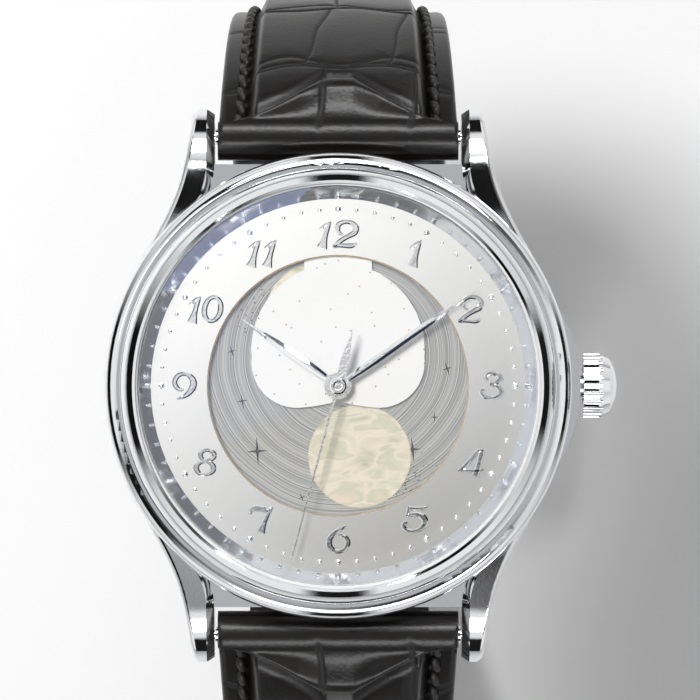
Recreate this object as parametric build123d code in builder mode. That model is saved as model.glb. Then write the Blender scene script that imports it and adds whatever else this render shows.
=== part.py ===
from build123d import *
import math
import os

# Automatic wrist watch with a moon disc under an open dial, in millimetres.
# Origin at the centre of the case back's resting face, dial facing +Z, 12 o'clock +Y, crown +X.

# Shared fits
overrun = 1.0
fit_clearance = 0.01
running_clearance = 0.05
leather_clearance = 0.3
running_gap = 0.12

# Watch head
case_radius = 20.9
case_waist_radius = 19.75
case_foot_radius = 18.75
case_bore_radius = 17.3
case_foot_chamfer = 0.7
case_shoulder_drop = 1.1
case_rim_height = 0.45
bezel_radius = 19.73
bezel_opening_radius = 18.05
bezel_height = 2.35
bezel_step = 0.35
bezel_step_inset = 0.25
bezel_lip_width = 0.25
bezel_seat_width = 0.1
crystal_clearance = 0.2
crystal_edge_height = 1.3
crystal_dome_height = 1.5
crystal_thickness = 1.7
crystal_seat_width = 0.9
crystal_gasket_drop = 0.1
inner_flange_radius = 16.6
inner_flange_lip = 0.15

# Case back
back_radius = 18.6
back_flange = 1.2
back_lip = 0.35
back_window_radius = 12.9
back_glass_radius = 13.65
back_glass_thickness = 0.8
back_spigot_height = 1.0
back_spigot_wall = 1.0
back_notch_width = 2.4
back_notch_depth = 0.5
back_notch_count = 6
back_notch_height = 0.7
back_seal_width = 0.6
back_seal_height = 0.4
back_edge_chamfer = 0.3

# Lugs and spring bars
lug_gap = 22.2
lug_beyond_bar = 2.45
lug_tip_width = 1.95
lug_neck_width = 3.0
lug_neck_reach = 18.6
lug_blend_angle = 30.0
lug_root_distance = 19.2
lug_root_angle = 43.7
lug_top_bevel = 0.55
lug_inner_bevel = 0.7
lug_outer_round = 0.45
lug_tip_direction = (0.18, -1)
lug_root_direction = (-0.45, 1)
lug_nose_direction = (0.35, -1)
lug_arch_direction = (-1, 0.1)
lug_tip_top = 2.5
lug_tip_foot = 0.35
lug_crest_reach = 11.0
lug_knee_reach = 18.5
lug_knee_height = 6.0
lug_arch_reach = 18.0
lug_shelf_drop = 1.85
end_wall_stand = 0.1
strap_end_clearance = 0.4
bar_height = 2.75
bar_radius = 0.75
bar_tip_radius = 0.4
bar_tip_length = 0.7
bar_shoulder_play = 0.1

# Crown and its stem
crown_radius = 2.9
crown_barrel_length = 1.35
crown_cone_length = 1.0
crown_cone_end_radius = 2.45
crown_dome_length = 0.7
crown_flute_count = 24
crown_flute_radius = 0.26
crown_start = 21.95
crown_recess_radius = 1.75
crown_recess_depth = 1.4
crown_shoulder_reach = 21.7
crown_shoulder_angle = 30.0
crown_seal_width = 0.4
tube_radius = 1.25
tube_bore_radius = 0.6
tube_stand = 1.2
stem_radius = 0.3
stem_groove_radius = 0.19
stem_groove_width = 0.45
stem_groove_place = 9.9
stem_inner_end = 8.9
stem_thread_length = 0.6
setting_lever_width = 2.2

# Heights of the movement's layers
rotor_gap = 0.15
rotor_plate_thickness = 0.4
rotor_rim_height = 0.85
bridge_gap = 0.2
bridge_thickness = 0.6
wheel_thickness = 0.15
barrel_height = 0.55
plate_thickness = 0.7
motion_gap = 0.08
moon_disc_thickness = 0.15
sky_plate_thickness = 0.18
dial_thickness = 0.4
hand_thickness = 0.15
hour_hand_rise = 0.25
minute_hand_rise = 0.22
seconds_hand_rise = 0.22

# Movement plan
movement_radius = 13.0
movement_ring_clearance = 0.1
third_distance = 6.4
third_angle = 225.0
barrel_angle = 75.0
escape_angle = 310.0
fork_distance = 7.3
fork_angle = 330.0
balance_distance = 8.4
balance_angle = 348.0
minute_wheel_angle = 160.0
centre_wheel_teeth = 45
third_pinion_leaves = 6
third_wheel_teeth = 48
fourth_pinion_leaves = 6
fourth_wheel_teeth = 60
escape_pinion_leaves = 6
barrel_teeth = 48
centre_pinion_leaves = 8
barrel_module = 0.23
escape_module = 0.19
cannon_leaves = 9
minute_wheel_teeth = 27
minute_pinion_leaves = 8
hour_wheel_teeth = 32
motion_distance = 3.24
arbor_radius = 0.12
centre_tube_radius = 0.3
cannon_radius = 0.45
hour_tube_radius = 0.68
minute_stud_radius = 0.2
barrel_arbor_radius = 0.5
barrel_tooth_height = 0.2
barrel_drum_radius = 5.0
barrel_wall = 0.2
barrel_cover_thickness = 0.08
mainspring_margin = 0.25
mainspring_turns = 6
mainspring_strip = 0.1
spiral_steps = 18
wheel_hub_radius = 0.85
wheel_arms = 5
wheel_arm_width = 0.35
escape_teeth = 15
escape_radius = 1.75
fork_arm_radius = 2.15
fork_arm_width = 0.25
fork_hub_radius = 0.35
fork_lever_length = 1.75
fork_lever_width = 0.22
pallet_bridge_radius = 0.5
pallet_foot_distance = 9.3
pallet_foot_angle = 320.0
balance_radius = 4.3
balance_rim_width = 0.4
balance_height = 0.25
balance_arms = 3
balance_roller_radius = 0.55
hairspring_inner_radius = 0.5
hairspring_radius = 2.2
hairspring_turns = 4
hairspring_strip = 0.07
hairspring_height = 0.16
bridge_foot_distance = 11.7
bridge_foot_spread = 60.0
near_foot_spread = 36.0
bridge_foot_radius = 1.0
bridge_margin = 0.2
bridge_parting_gap = 0.15
bridge_parting_place = 1.6
cock_foot_distance = 11.6
cock_foot_angle = 20.0
cock_foot_radius = 1.25
cock_nose_radius = 1.1
jewel_radius = 0.45
screw_head_radius = 0.65
screw_head_height = 0.25
screw_slot_width = 0.15
screw_radius = 0.35
screw_length = 1.6
stem_channel_start = 8.6
stem_channel_width = 2.6
rotor_radius = 12.4
rotor_edge_place = -0.5
rotor_hub_radius = 2.2
rotor_rim_width = 1.6
rotor_post_radius = 0.8
rotor_cap_radius = 1.3
rotor_cap_height = 0.1

# Dial side
dial_clearance = 0.2
dial_opening_bevel = 0.15
dial_opening_radius = 11.47
dial_hole_radius = 0.85
moon_disc_pitch_radius = 12.1
moon_plate_radius = 12.0
moon_plate_wall = 0.6
moon_disc_teeth = 59
moon_hub_radius = 1.75
moon_hub_wall = 0.6
moon_radius = 4.55
moon_distance = 6.54
moon_angle = -73.0
moon_inlay_height = 0.05
sky_radius = 7.68
sky_centre_rise = 3.2
sky_lobe_radius = 4.05
sky_lobe_drop = 1.1
sky_notch_drop = 1.34
sky_notch_bulge = 0.12
sky_tab_width = 6.0
sky_tab_reach = 12.6

# Hands
hour_hand_length = 10.6
minute_hand_length = 15.2
seconds_hand_length = 15.8
seconds_tail_length = 5.2
hour_hand_angle = 304.8
minute_hand_angle = 55.3
seconds_hand_angle = 195.0
hour_hand_width = 0.8
minute_hand_width = 0.66
seconds_hand_width = 0.26
seconds_tail_width = 0.75
hour_boss_radius = 1.2
minute_boss_radius = 0.94
seconds_boss_radius = 0.76
seconds_cap_radius = 0.27
seconds_cap_height = 0.25
hand_belly_share = 0.42
hand_root_share = 0.28
hand_ridge_share = 0.1
hand_tip_share = 0.35

# Strap and buckle
strap_end_width = 18.0
strap_thickness = 4.3
strap_end_thickness = 2.4
strap_taper_length = 45.0
strap_edge_share = 0.55
strap_pad_inset = 2.6
strap_straight = 3.0
short_strap_length = 75.0
short_strap_radius = 30.5
short_strap_lean = 42.0
long_strap_length = 118.0
long_strap_radius = 42.0
long_strap_lean = 38.0
strap_tip_length = 9.0
strap_tip_shares = (0.5, 0.8, 0.96)
short_strap_sections = 10
long_strap_sections = 13
strap_hole_radius = 1.0
strap_hole_count = 7
strap_hole_pitch = 7.0
strap_hole_margin = 22.0
tang_slot_width = 4.0
tang_slot_length = 4.5
keeper_width = 5.0
keeper_wall = 1.1
keeper_inner_drop = 2.5
keeper_inner_rise = 3.0
fixed_keeper_place = 65.5
sliding_keeper_place = 58.0
buckle_side_width = 2.0
buckle_length = 12.0
buckle_nose = 2.4
buckle_thickness = 2.0
buckle_corner = 3.0
buckle_eye_radius = 1.5
buckle_bar_radius = 0.75
tang_radius = 0.65
tang_overhang = 0.4
tang_eye_width = 2.6

# Layer heights, stacked from the resting face upwards
rotor_z = back_flange + rotor_gap
bridge_z = rotor_z + rotor_rim_height + bridge_gap
fourth_z = bridge_z + bridge_thickness + running_gap
third_z = fourth_z + wheel_thickness + running_gap
centre_z = third_z + barrel_height + running_gap
escape_z = centre_z + wheel_thickness + running_gap
plate_z = escape_z + wheel_thickness + running_gap
plate_top = plate_z + plate_thickness
minute_wheel_z = plate_top + motion_gap
hour_wheel_z = minute_wheel_z + wheel_thickness + motion_gap
moon_plate_z = hour_wheel_z + wheel_thickness + motion_gap
moon_disc_z = moon_plate_z + wheel_thickness + motion_gap
sky_z = moon_disc_z + moon_disc_thickness + moon_inlay_height + motion_gap
dial_z = sky_z + sky_plate_thickness
dial_top = dial_z + dial_thickness
hour_hand_z = dial_top + hour_hand_rise
minute_hand_z = hour_hand_z + hand_thickness + minute_hand_rise
seconds_hand_z = minute_hand_z + hand_thickness + seconds_hand_rise
case_top = dial_top + case_shoulder_drop / 2
stem_z = plate_z + plate_thickness / 5
bezel_top = case_top + bezel_height
crystal_edge_top = bezel_top - bezel_step
crystal_z = crystal_edge_top - crystal_edge_height

# Reaches from the centre, from the case's end wall outwards to the lug's tip
end_wall_reach = case_waist_radius + end_wall_stand
bar_reach = end_wall_reach + strap_end_clearance + strap_thickness / 2
lug_reach = bar_reach + lug_beyond_bar


def polar(distance, angle):
    """Point in the movement's plane at a distance and an angle from +X."""
    return (distance * math.cos(math.radians(angle)), distance * math.sin(math.radians(angle)))


# Wheel centres, worked out from the meshes
barrel_distance = barrel_module * (barrel_teeth + centre_pinion_leaves) / 2
escape_distance = escape_module * (fourth_wheel_teeth + escape_pinion_leaves) / 2
third_place = polar(third_distance, third_angle)
barrel_place = polar(barrel_distance, barrel_angle)
escape_place = polar(escape_distance, escape_angle)
fork_place = polar(fork_distance, fork_angle)
balance_place = polar(balance_distance, balance_angle)
minute_wheel_place = polar(motion_distance, minute_wheel_angle)


def level(place, height):
    """Horizontal plane whose origin is an arbor's centre at one height."""
    return Plane(origin=(place[0], place[1], height))


def tooth_points(teeth, pitch_radius, tooth_at):
    """Corners of a toothed wheel whose first tooth points to an angle in degrees."""
    module = 2 * pitch_radius / teeth
    tip_radius = pitch_radius + addendum_share * module
    root_radius = pitch_radius - dedendum_share * module
    corners = []
    for tooth in range(teeth):
        middle = tooth_at + tooth * 360 / teeth
        for radius, share in (
            (root_radius, -root_width_share),
            (tip_radius, -tip_width_share),
            (tip_radius, tip_width_share),
            (root_radius, root_width_share),
        ):
            corners.append(polar(radius, middle + share * 360 / teeth))
    return corners


def toothed_face(teeth, pitch_radius, tooth_at):
    """Face of a toothed wheel for the sketch that calls it."""
    with BuildSketch(mode=Mode.PRIVATE) as wheel:
        with BuildLine():
            Polyline(*tooth_points(teeth, pitch_radius, tooth_at), close=True)
        make_face()
    return wheel.sketch


def crossings(rim_radius, hub_radius, arms, arm_width):
    """Windows between a wheel's arms, to be cut from its face."""
    with BuildSketch(mode=Mode.PRIVATE) as windows:
        Circle(rim_radius)
        Circle(hub_radius, mode=Mode.SUBTRACT)
        with PolarLocations(0, arms):
            Rectangle(rim_radius * 2, arm_width, align=(Align.MIN, Align.CENTER), mode=Mode.SUBTRACT)
    return windows.sketch


# Tooth shape, as shares of the module and of the tooth pitch
addendum_share = 0.75
dedendum_share = 1.15
root_width_share = 0.25
tip_width_share = 0.08
steep_share = 0.75
crossing_rim_share = 0.86
escape_rim_share = 0.68
fork_wrap_share = 0.62

os.makedirs("parts", exist_ok=True)

# Lugs: blades that flow out of the case side, cut by the side view's arch
lug_blend = polar(case_radius, lug_blend_angle)
lug_blend_direction = (math.sin(math.radians(lug_blend_angle)), -math.cos(math.radians(lug_blend_angle)))
lug_tip_outer = (lug_gap / 2 + lug_tip_width, lug_reach - lug_top_bevel)
lug_neck = (lug_gap / 2 + lug_neck_width, lug_neck_reach)
lug_corner = (lug_gap / 2, end_wall_reach)
lug_root = polar(lug_root_distance, lug_root_angle)
lug_shoulder_z = case_top - case_shoulder_drop

with BuildPart() as lugs:
    with BuildSketch(Plane.XY.offset(lug_tip_foot)):
        with BuildLine():
            Spline(lug_tip_outer, lug_neck, lug_blend, tangents=[lug_tip_direction, lug_blend_direction])
            Polyline(lug_blend, polar(case_foot_radius, lug_blend_angle), lug_root)
            Spline(lug_root, lug_corner, tangents=[lug_root_direction, (0, 1)])
            Polyline(
                lug_corner,
                (lug_gap / 2, lug_reach),
                (lug_tip_outer[0] - lug_top_bevel, lug_reach),
                lug_tip_outer,
            )
        make_face()
        mirror(about=Plane.YZ)
        mirror(about=Plane.XZ)
    extrude(amount=case_top - lug_tip_foot)
    with BuildSketch(Plane.YZ):
        with BuildLine():
            Spline(
                (lug_crest_reach, lug_shoulder_z),
                (lug_knee_reach, lug_knee_height),
                (lug_reach, lug_tip_top),
                tangents=[(1, 0), lug_nose_direction],
            )
            Line((lug_reach, lug_tip_top), (lug_reach - lug_top_bevel, lug_tip_foot))
            Spline(
                (lug_reach - lug_top_bevel, lug_tip_foot),
                (lug_arch_reach, back_flange),
                (lug_blend[1] / 2, back_flange),
                tangents=[lug_arch_direction, (-1, 0)],
            )
            Polyline(
                (lug_blend[1] / 2, back_flange),
                (lug_blend[1] / 2, lug_shoulder_z),
                (lug_crest_reach, lug_shoulder_z),
            )
        make_face()
        mirror(about=Plane.YZ)
    extrude(amount=case_radius, both=True, mode=Mode.INTERSECT)
    for inner in (True, False):
        top_faces = lugs.faces().filter_by(lambda face: face.normal_at().Z > steep_share)
        rims = [edge for face in top_faces for edge in face.edges()]
        rims = [edge for edge in rims if edge.bounding_box().size.Y > lug_tip_width * 2]
        if inner:
            chamfer([edge for edge in rims if abs(edge.center().X) < lug_root[0]], length=lug_inner_bevel)
        else:
            fillet([edge for edge in rims if abs(edge.center().X) > lug_neck[0]], radius=lug_outer_round)

# Case middle: the turned wall with its rim, the lugs and the shoulder that guards the crown
case_rim_top = lug_shoulder_z
case_rim_foot = case_rim_top - case_rim_height
case_waist_top = case_rim_foot - (case_radius - case_waist_radius)
crown_shoulder_root = polar(case_waist_radius, crown_shoulder_angle)
lug_shelf_z = lug_shoulder_z - lug_shelf_drop
shelf_half_width = lug_corner[0] + lug_tip_width / 2
shelf_root_half_width = lug_root[0] + lug_tip_width / 2

with BuildPart() as case_middle:
    with BuildSketch(Plane.XZ):
        with BuildLine():
            Polyline(
                (bezel_radius, case_top),
                (case_bore_radius, case_top),
                (case_bore_radius, back_flange),
                (case_foot_radius, back_flange),
                (case_waist_radius, back_flange + case_foot_chamfer),
                (case_waist_radius, case_waist_top),
            )
            TangentArc((case_waist_radius, case_waist_top), (case_radius, case_rim_foot), tangent=(0, 1))
            Line((case_radius, case_rim_foot), (case_radius, case_rim_top))
            TangentArc((case_radius, case_rim_top), (bezel_radius, case_top), tangent=(0, 1))
        make_face()
    revolve(axis=Axis.Z)
    with BuildSketch(Plane.XY.offset(back_flange + case_foot_chamfer)):
        with BuildLine():
            ThreePointArc(
                (crown_shoulder_root[0], -crown_shoulder_root[1]), (crown_shoulder_reach, 0), crown_shoulder_root
            )
            Polyline(
                crown_shoulder_root,
                (case_bore_radius + back_spigot_wall, 0),
                (crown_shoulder_root[0], -crown_shoulder_root[1]),
            )
        make_face()
    extrude(amount=case_rim_top - back_flange - case_foot_chamfer)
    add(lugs.part)
    with BuildSketch(Plane.XY.offset(back_flange)):
        with BuildLine():
            Polyline(
                (-shelf_half_width, end_wall_reach),
                (shelf_half_width, end_wall_reach),
                (shelf_root_half_width, lug_root[1]),
                (-shelf_root_half_width, lug_root[1]),
                close=True,
            )
        make_face()
        mirror(about=Plane.XZ)
    extrude(amount=lug_shelf_z - back_flange)
    with BuildSketch(Plane.XY):
        Circle(case_bore_radius)
    extrude(amount=case_top, mode=Mode.SUBTRACT)
    with BuildSketch(Plane.YZ):
        with Locations((0, stem_z)):
            Circle(tube_radius + fit_clearance)
    extrude(amount=crown_shoulder_reach + overrun, mode=Mode.SUBTRACT)
    with BuildSketch(Plane.YZ):
        with Locations((bar_reach, bar_height), (-bar_reach, bar_height)):
            Circle(bar_tip_radius + fit_clearance)
    extrude(amount=lug_gap / 2 + bar_tip_length, both=True, mode=Mode.SUBTRACT)
case_middle.part.label = "case_middle"
export_step(case_middle.part, "parts/case_middle.step")

# Bezel: a turned ring with a small step at its foot and a rounded flank
bezel_bore_radius = bezel_opening_radius - crystal_clearance - bezel_seat_width
crystal_radius = bezel_opening_radius - crystal_clearance

with BuildPart() as bezel:
    with BuildSketch(Plane.XZ):
        with BuildLine():
            Polyline(
                (bezel_opening_radius + bezel_lip_width, bezel_top),
                (bezel_opening_radius, bezel_top - bezel_lip_width / 2),
                (bezel_opening_radius, crystal_z),
                (bezel_bore_radius, crystal_z),
                (bezel_bore_radius, case_top),
                (bezel_radius, case_top),
                (bezel_radius, case_top + bezel_step),
                (bezel_radius - bezel_step_inset, case_top + bezel_step),
            )
            TangentArc(
                (bezel_radius - bezel_step_inset, case_top + bezel_step),
                (bezel_opening_radius + bezel_lip_width, bezel_top),
                tangent=(0, 1),
            )
        make_face()
    revolve(axis=Axis.Z)
bezel.part.label = "bezel"
export_step(bezel.part, "parts/bezel.step")

# Crystal: a domed disc, hollowed a little on the inside
with BuildPart() as crystal:
    with BuildSketch(Plane.XZ):
        with BuildLine():
            Polyline(
                (0, crystal_edge_top + crystal_dome_height - crystal_thickness),
                (0, crystal_edge_top + crystal_dome_height),
            )
            TangentArc(
                (0, crystal_edge_top + crystal_dome_height), (crystal_radius, crystal_edge_top), tangent=(1, 0)
            )
            Polyline(
                (crystal_radius, crystal_edge_top),
                (crystal_radius, crystal_z),
                (crystal_radius - crystal_seat_width, crystal_z),
            )
            TangentArc(
                (0, crystal_edge_top + crystal_dome_height - crystal_thickness),
                (crystal_radius - crystal_seat_width, crystal_z),
                tangent=(1, 0),
            )
        make_face()
    revolve(axis=Axis.Z)
crystal.part.label = "crystal"
export_step(crystal.part, "parts/crystal.step")

# Crystal gasket: the thin ring pressed between crystal and bezel
with BuildPart() as crystal_gasket:
    with BuildSketch(Plane.XY.offset(crystal_z)):
        Circle(bezel_opening_radius - fit_clearance)
        Circle(crystal_radius + fit_clearance, mode=Mode.SUBTRACT)
    extrude(amount=crystal_edge_height - crystal_gasket_drop)
crystal_gasket.part.label = "crystal_gasket"
export_step(crystal_gasket.part, "parts/crystal_gasket.step")

# Inner flange between dial and crystal, sloping outwards to the bezel's bore
with BuildPart() as inner_flange:
    with BuildSketch(Plane.XZ):
        with BuildLine():
            Polyline(
                (inner_flange_radius, dial_top),
                (case_bore_radius - running_clearance, dial_top),
                (case_bore_radius - running_clearance, case_top),
                (bezel_bore_radius - fit_clearance, case_top),
                (bezel_bore_radius - fit_clearance, crystal_z),
                (bezel_bore_radius - inner_flange_lip, crystal_z),
                close=True,
            )
        make_face()
    revolve(axis=Axis.Z)
inner_flange.part.label = "inner_flange"
export_step(inner_flange.part, "parts/inner_flange.step")

# Case back: a screwed ring with a window, six key notches and a groove for its seal
back_spigot_radius = case_bore_radius - running_clearance * 2
back_groove_radius = (back_radius + back_spigot_radius) / 2

with BuildPart() as case_back:
    with BuildSketch(Plane.XZ):
        with BuildLine():
            Polyline(
                (back_window_radius, 0),
                (back_radius - back_edge_chamfer, 0),
                (back_radius, back_edge_chamfer),
                (back_radius, back_flange),
                (back_spigot_radius, back_flange),
                (back_spigot_radius, back_flange + back_spigot_height),
                (back_spigot_radius - back_spigot_wall, back_flange + back_spigot_height),
                (back_spigot_radius - back_spigot_wall, back_flange),
                (back_glass_radius + running_clearance, back_flange),
                (back_glass_radius + running_clearance, back_lip),
                (back_window_radius, back_lip),
                close=True,
            )
        make_face()
    revolve(axis=Axis.Z)
    with BuildSketch(Plane.XY.offset(back_flange - back_seal_height)):
        Circle(back_groove_radius + back_seal_width / 2)
        Circle(back_groove_radius - back_seal_width / 2, mode=Mode.SUBTRACT)
    extrude(amount=back_seal_height, mode=Mode.SUBTRACT)
    with BuildSketch(Plane.XY):
        with PolarLocations(back_radius, back_notch_count):
            Rectangle(back_notch_depth * 2, back_notch_width)
    extrude(amount=back_notch_height, mode=Mode.SUBTRACT)
case_back.part.label = "case_back"
export_step(case_back.part, "parts/case_back.step")

# Back glass: stepped, so that its outer face is flush with the ring
with BuildPart() as back_glass:
    with BuildSketch(Plane.XY.offset(back_lip)):
        Circle(back_glass_radius)
    extrude(amount=back_glass_thickness)
    with BuildSketch(Plane.XY):
        Circle(back_window_radius - running_clearance)
    extrude(amount=back_lip)
back_glass.part.label = "back_glass"
export_step(back_glass.part, "parts/back_glass.step")

with BuildPart() as back_seal:
    with BuildSketch(Plane.XY.offset(back_flange - back_seal_height)):
        Circle(back_groove_radius + back_seal_width / 2 - fit_clearance)
        Circle(back_groove_radius - back_seal_width / 2 + fit_clearance, mode=Mode.SUBTRACT)
    extrude(amount=back_seal_height)
back_seal.part.label = "back_seal"
export_step(back_seal.part, "parts/back_seal.step")

# Spring bars: a tube with a thinner tip at each end, one pair of lugs each
with BuildPart() as spring_bars:
    for side in (1, -1):
        bar_plane = Plane(origin=(0, side * bar_reach, bar_height), z_dir=(1, 0, 0))
        with BuildSketch(bar_plane):
            Circle(bar_radius)
        extrude(amount=lug_gap / 2 - bar_shoulder_play, both=True)
        with BuildSketch(bar_plane):
            Circle(bar_tip_radius)
        extrude(amount=lug_gap / 2 + bar_tip_length - bar_shoulder_play, both=True)
spring_bars.part.label = "spring_bars"
export_step(spring_bars.part, "parts/spring_bars.step")

# Crown tube, crown, its seal and the winding stem, all on one axis along +X
crown_axis = Axis((0, 0, stem_z), (1, 0, 0))
crown_end = crown_start + crown_barrel_length + crown_cone_length + crown_dome_length
crown_recess_end = crown_start + crown_recess_depth

with BuildPart() as crown_tube:
    with BuildSketch(Plane.YZ.offset(case_bore_radius)):
        with Locations((0, stem_z)):
            Circle(tube_radius)
            Circle(tube_bore_radius, mode=Mode.SUBTRACT)
    extrude(amount=crown_shoulder_reach + tube_stand - case_bore_radius)
crown_tube.part.label = "crown_tube"
export_step(crown_tube.part, "parts/crown_tube.step")

with BuildPart() as crown:
    with BuildSketch(Plane.XZ):
        with BuildLine():
            Polyline(
                (crown_recess_end, stem_z),
                (crown_recess_end, stem_z + crown_recess_radius),
                (crown_start, stem_z + crown_recess_radius),
                (crown_start, stem_z + crown_radius),
                (crown_start + crown_barrel_length, stem_z + crown_radius),
                (crown_end - crown_dome_length, stem_z + crown_cone_end_radius),
            )
            TangentArc(
                (crown_end, stem_z), (crown_end - crown_dome_length, stem_z + crown_cone_end_radius), tangent=(0, 1)
            )
            Line((crown_end, stem_z), (crown_recess_end, stem_z))
        make_face()
    revolve(axis=crown_axis)
    with BuildSketch(Plane.YZ.offset(crown_start)):
        with Locations((0, stem_z)):
            with PolarLocations(crown_radius + crown_flute_radius / 3, crown_flute_count):
                Circle(crown_flute_radius)
    extrude(amount=crown_barrel_length + crown_cone_length, mode=Mode.SUBTRACT)
    with BuildSketch(Plane.YZ.offset(crown_recess_end)):
        with Locations((0, stem_z)):
            Circle(stem_radius + fit_clearance)
    extrude(amount=stem_thread_length, mode=Mode.SUBTRACT)
crown.part.label = "crown"
export_step(crown.part, "parts/crown.step")

with BuildPart() as crown_seal:
    with BuildSketch(Plane.YZ.offset(crown_start + crown_seal_width)):
        with Locations((0, stem_z)):
            Circle(crown_recess_radius - fit_clearance)
            Circle(tube_radius + running_clearance, mode=Mode.SUBTRACT)
    extrude(amount=crown_seal_width)
crown_seal.part.label = "crown_seal"
export_step(crown_seal.part, "parts/crown_seal.step")

with BuildPart() as winding_stem:
    with BuildSketch(Plane.YZ.offset(stem_inner_end)):
        with Locations((0, stem_z)):
            Circle(stem_radius)
    extrude(amount=crown_recess_end + stem_thread_length - stem_inner_end)
    with BuildSketch(Plane.YZ.offset(stem_groove_place)):
        with Locations((0, stem_z)):
            Circle(stem_radius * 2)
            Circle(stem_groove_radius, mode=Mode.SUBTRACT)
    extrude(amount=stem_groove_width, mode=Mode.SUBTRACT)
winding_stem.part.label = "winding_stem"
export_step(winding_stem.part, "parts/winding_stem.step")

# Setting lever: a small forked plate that holds the stem by its groove and slides with it
with BuildPart() as setting_lever:
    with BuildSketch(Plane.YZ.offset(stem_groove_place + running_clearance)):
        with Locations((0, stem_z)):
            Rectangle(setting_lever_width, stem_radius * 2)
            Rectangle(
                stem_groove_radius * 2 + running_clearance * 2,
                stem_radius * 2,
                align=(Align.CENTER, Align.MIN),
                mode=Mode.SUBTRACT,
            )
            Circle(stem_groove_radius + running_clearance, mode=Mode.SUBTRACT)
    extrude(amount=stem_groove_width - running_clearance * 2)
setting_lever.part.label = "setting_lever"
export_step(setting_lever.part, "parts/setting_lever.step")

# Movement holder: the ring that centres the movement in the case and carries the dial
movement_ring_radius = case_bore_radius - movement_ring_clearance

with BuildPart() as movement_ring:
    with BuildSketch(Plane.XY.offset(bridge_z)):
        Circle(movement_ring_radius)
        Circle(movement_radius + running_clearance, mode=Mode.SUBTRACT)
    extrude(amount=dial_z - bridge_z)
    with BuildSketch(Plane.YZ):
        with Locations((0, stem_z)):
            Circle(tube_bore_radius)
    extrude(amount=case_radius, mode=Mode.SUBTRACT)
movement_ring.part.label = "movement_ring"
export_step(movement_ring.part, "parts/movement_ring.step")

# Main plate: arbor holes, the stem's channel and the stud of the minute wheel
with BuildPart() as main_plate:
    with BuildSketch(Plane.XY.offset(plate_z)):
        Circle(movement_radius)
        Circle(centre_tube_radius + running_clearance, mode=Mode.SUBTRACT)
        with Locations(third_place, escape_place, fork_place, balance_place):
            Circle(arbor_radius + running_clearance, mode=Mode.SUBTRACT)
        with Locations(barrel_place):
            Circle(barrel_arbor_radius + fit_clearance, mode=Mode.SUBTRACT)
        with Locations((stem_channel_start, 0)):
            Rectangle(movement_radius, stem_channel_width, align=(Align.MIN, Align.CENTER), mode=Mode.SUBTRACT)
    extrude(amount=plate_thickness)
    with BuildSketch(level(minute_wheel_place, plate_top)):
        Circle(minute_stud_radius)
    extrude(amount=moon_plate_z - motion_gap - plate_top)
main_plate.part.label = "main_plate"
export_step(main_plate.part, "parts/main_plate.step")

# Bridges: two plates parted by a straight gap, and the cock that carries the balance
bridge_top = bridge_z + bridge_thickness
barrel_feet = [polar(bridge_foot_distance, barrel_angle + spread) for spread in (bridge_foot_spread, -near_foot_spread)]
train_feet = [polar(bridge_foot_distance, third_angle - bridge_foot_spread * side) for side in (1, -1)]
cock_foot = polar(cock_foot_distance, cock_foot_angle)


def cock_outline(margin):
    """Outline of the balance cock, widened by a margin."""
    with BuildSketch(mode=Mode.PRIVATE) as outline:
        with Locations(balance_place):
            Circle(cock_nose_radius + margin)
        with Locations(cock_foot):
            Circle(cock_foot_radius + margin)
        make_hull()
    return outline.sketch


def bridge_plate(side):
    """Face of the bridge on one side of the parting gap: 1 over the barrel, -1 over the train."""
    with BuildSketch(mode=Mode.PRIVATE) as plate:
        Circle(movement_radius - bridge_margin)
        with Locations(Location((0, 0, 0), (0, 0, barrel_angle))):
            with Locations((side * bridge_parting_gap / 2 + bridge_parting_place, 0)):
                Rectangle(
                    movement_radius * 3,
                    movement_radius * 3,
                    align=(Align.MAX if side > 0 else Align.MIN, Align.CENTER),
                    mode=Mode.SUBTRACT,
                )
        with Locations(balance_place):
            Circle(balance_radius + bridge_margin, mode=Mode.SUBTRACT)
        add(cock_outline(bridge_margin), mode=Mode.SUBTRACT)
    return plate.sketch.faces().sort_by(SortBy.AREA)[-1]


with BuildPart() as barrel_bridge:
    with BuildSketch(Plane.XY.offset(bridge_z)):
        add(bridge_plate(1))
        with Locations(barrel_place):
            Circle(barrel_arbor_radius + fit_clearance, mode=Mode.SUBTRACT)
    extrude(amount=bridge_thickness)
    with BuildSketch(Plane.XY.offset(bridge_top)):
        with Locations(*barrel_feet):
            Circle(bridge_foot_radius)
    extrude(amount=plate_z - bridge_top)
    with BuildSketch(Plane.XY.offset(bridge_z)):
        with Locations(*barrel_feet):
            Circle(screw_head_radius + running_clearance)
    extrude(amount=screw_head_height, mode=Mode.SUBTRACT)
    with BuildSketch(Plane.XY.offset(bridge_z)):
        with Locations(*barrel_feet):
            Circle(screw_radius + fit_clearance)
    extrude(amount=screw_length, mode=Mode.SUBTRACT)
barrel_bridge.part.label = "barrel_bridge"
export_step(barrel_bridge.part, "parts/barrel_bridge.step")

with BuildPart() as train_bridge:
    with BuildSketch(Plane.XY.offset(bridge_z)):
        add(bridge_plate(-1))
        with Locations((0, 0), third_place, escape_place):
            Circle(jewel_radius + fit_clearance, mode=Mode.SUBTRACT)
    extrude(amount=bridge_thickness)
    with BuildSketch(Plane.XY.offset(bridge_top)):
        with Locations(*train_feet):
            Circle(bridge_foot_radius)
    extrude(amount=plate_z - bridge_top)
    with BuildSketch(Plane.XY.offset(bridge_z)):
        with Locations(*train_feet):
            Circle(screw_head_radius + running_clearance)
    extrude(amount=screw_head_height, mode=Mode.SUBTRACT)
    with BuildSketch(Plane.XY.offset(bridge_z)):
        with Locations(*train_feet):
            Circle(screw_radius + fit_clearance)
    extrude(amount=screw_length, mode=Mode.SUBTRACT)
train_bridge.part.label = "train_bridge"
export_step(train_bridge.part, "parts/train_bridge.step")

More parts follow.
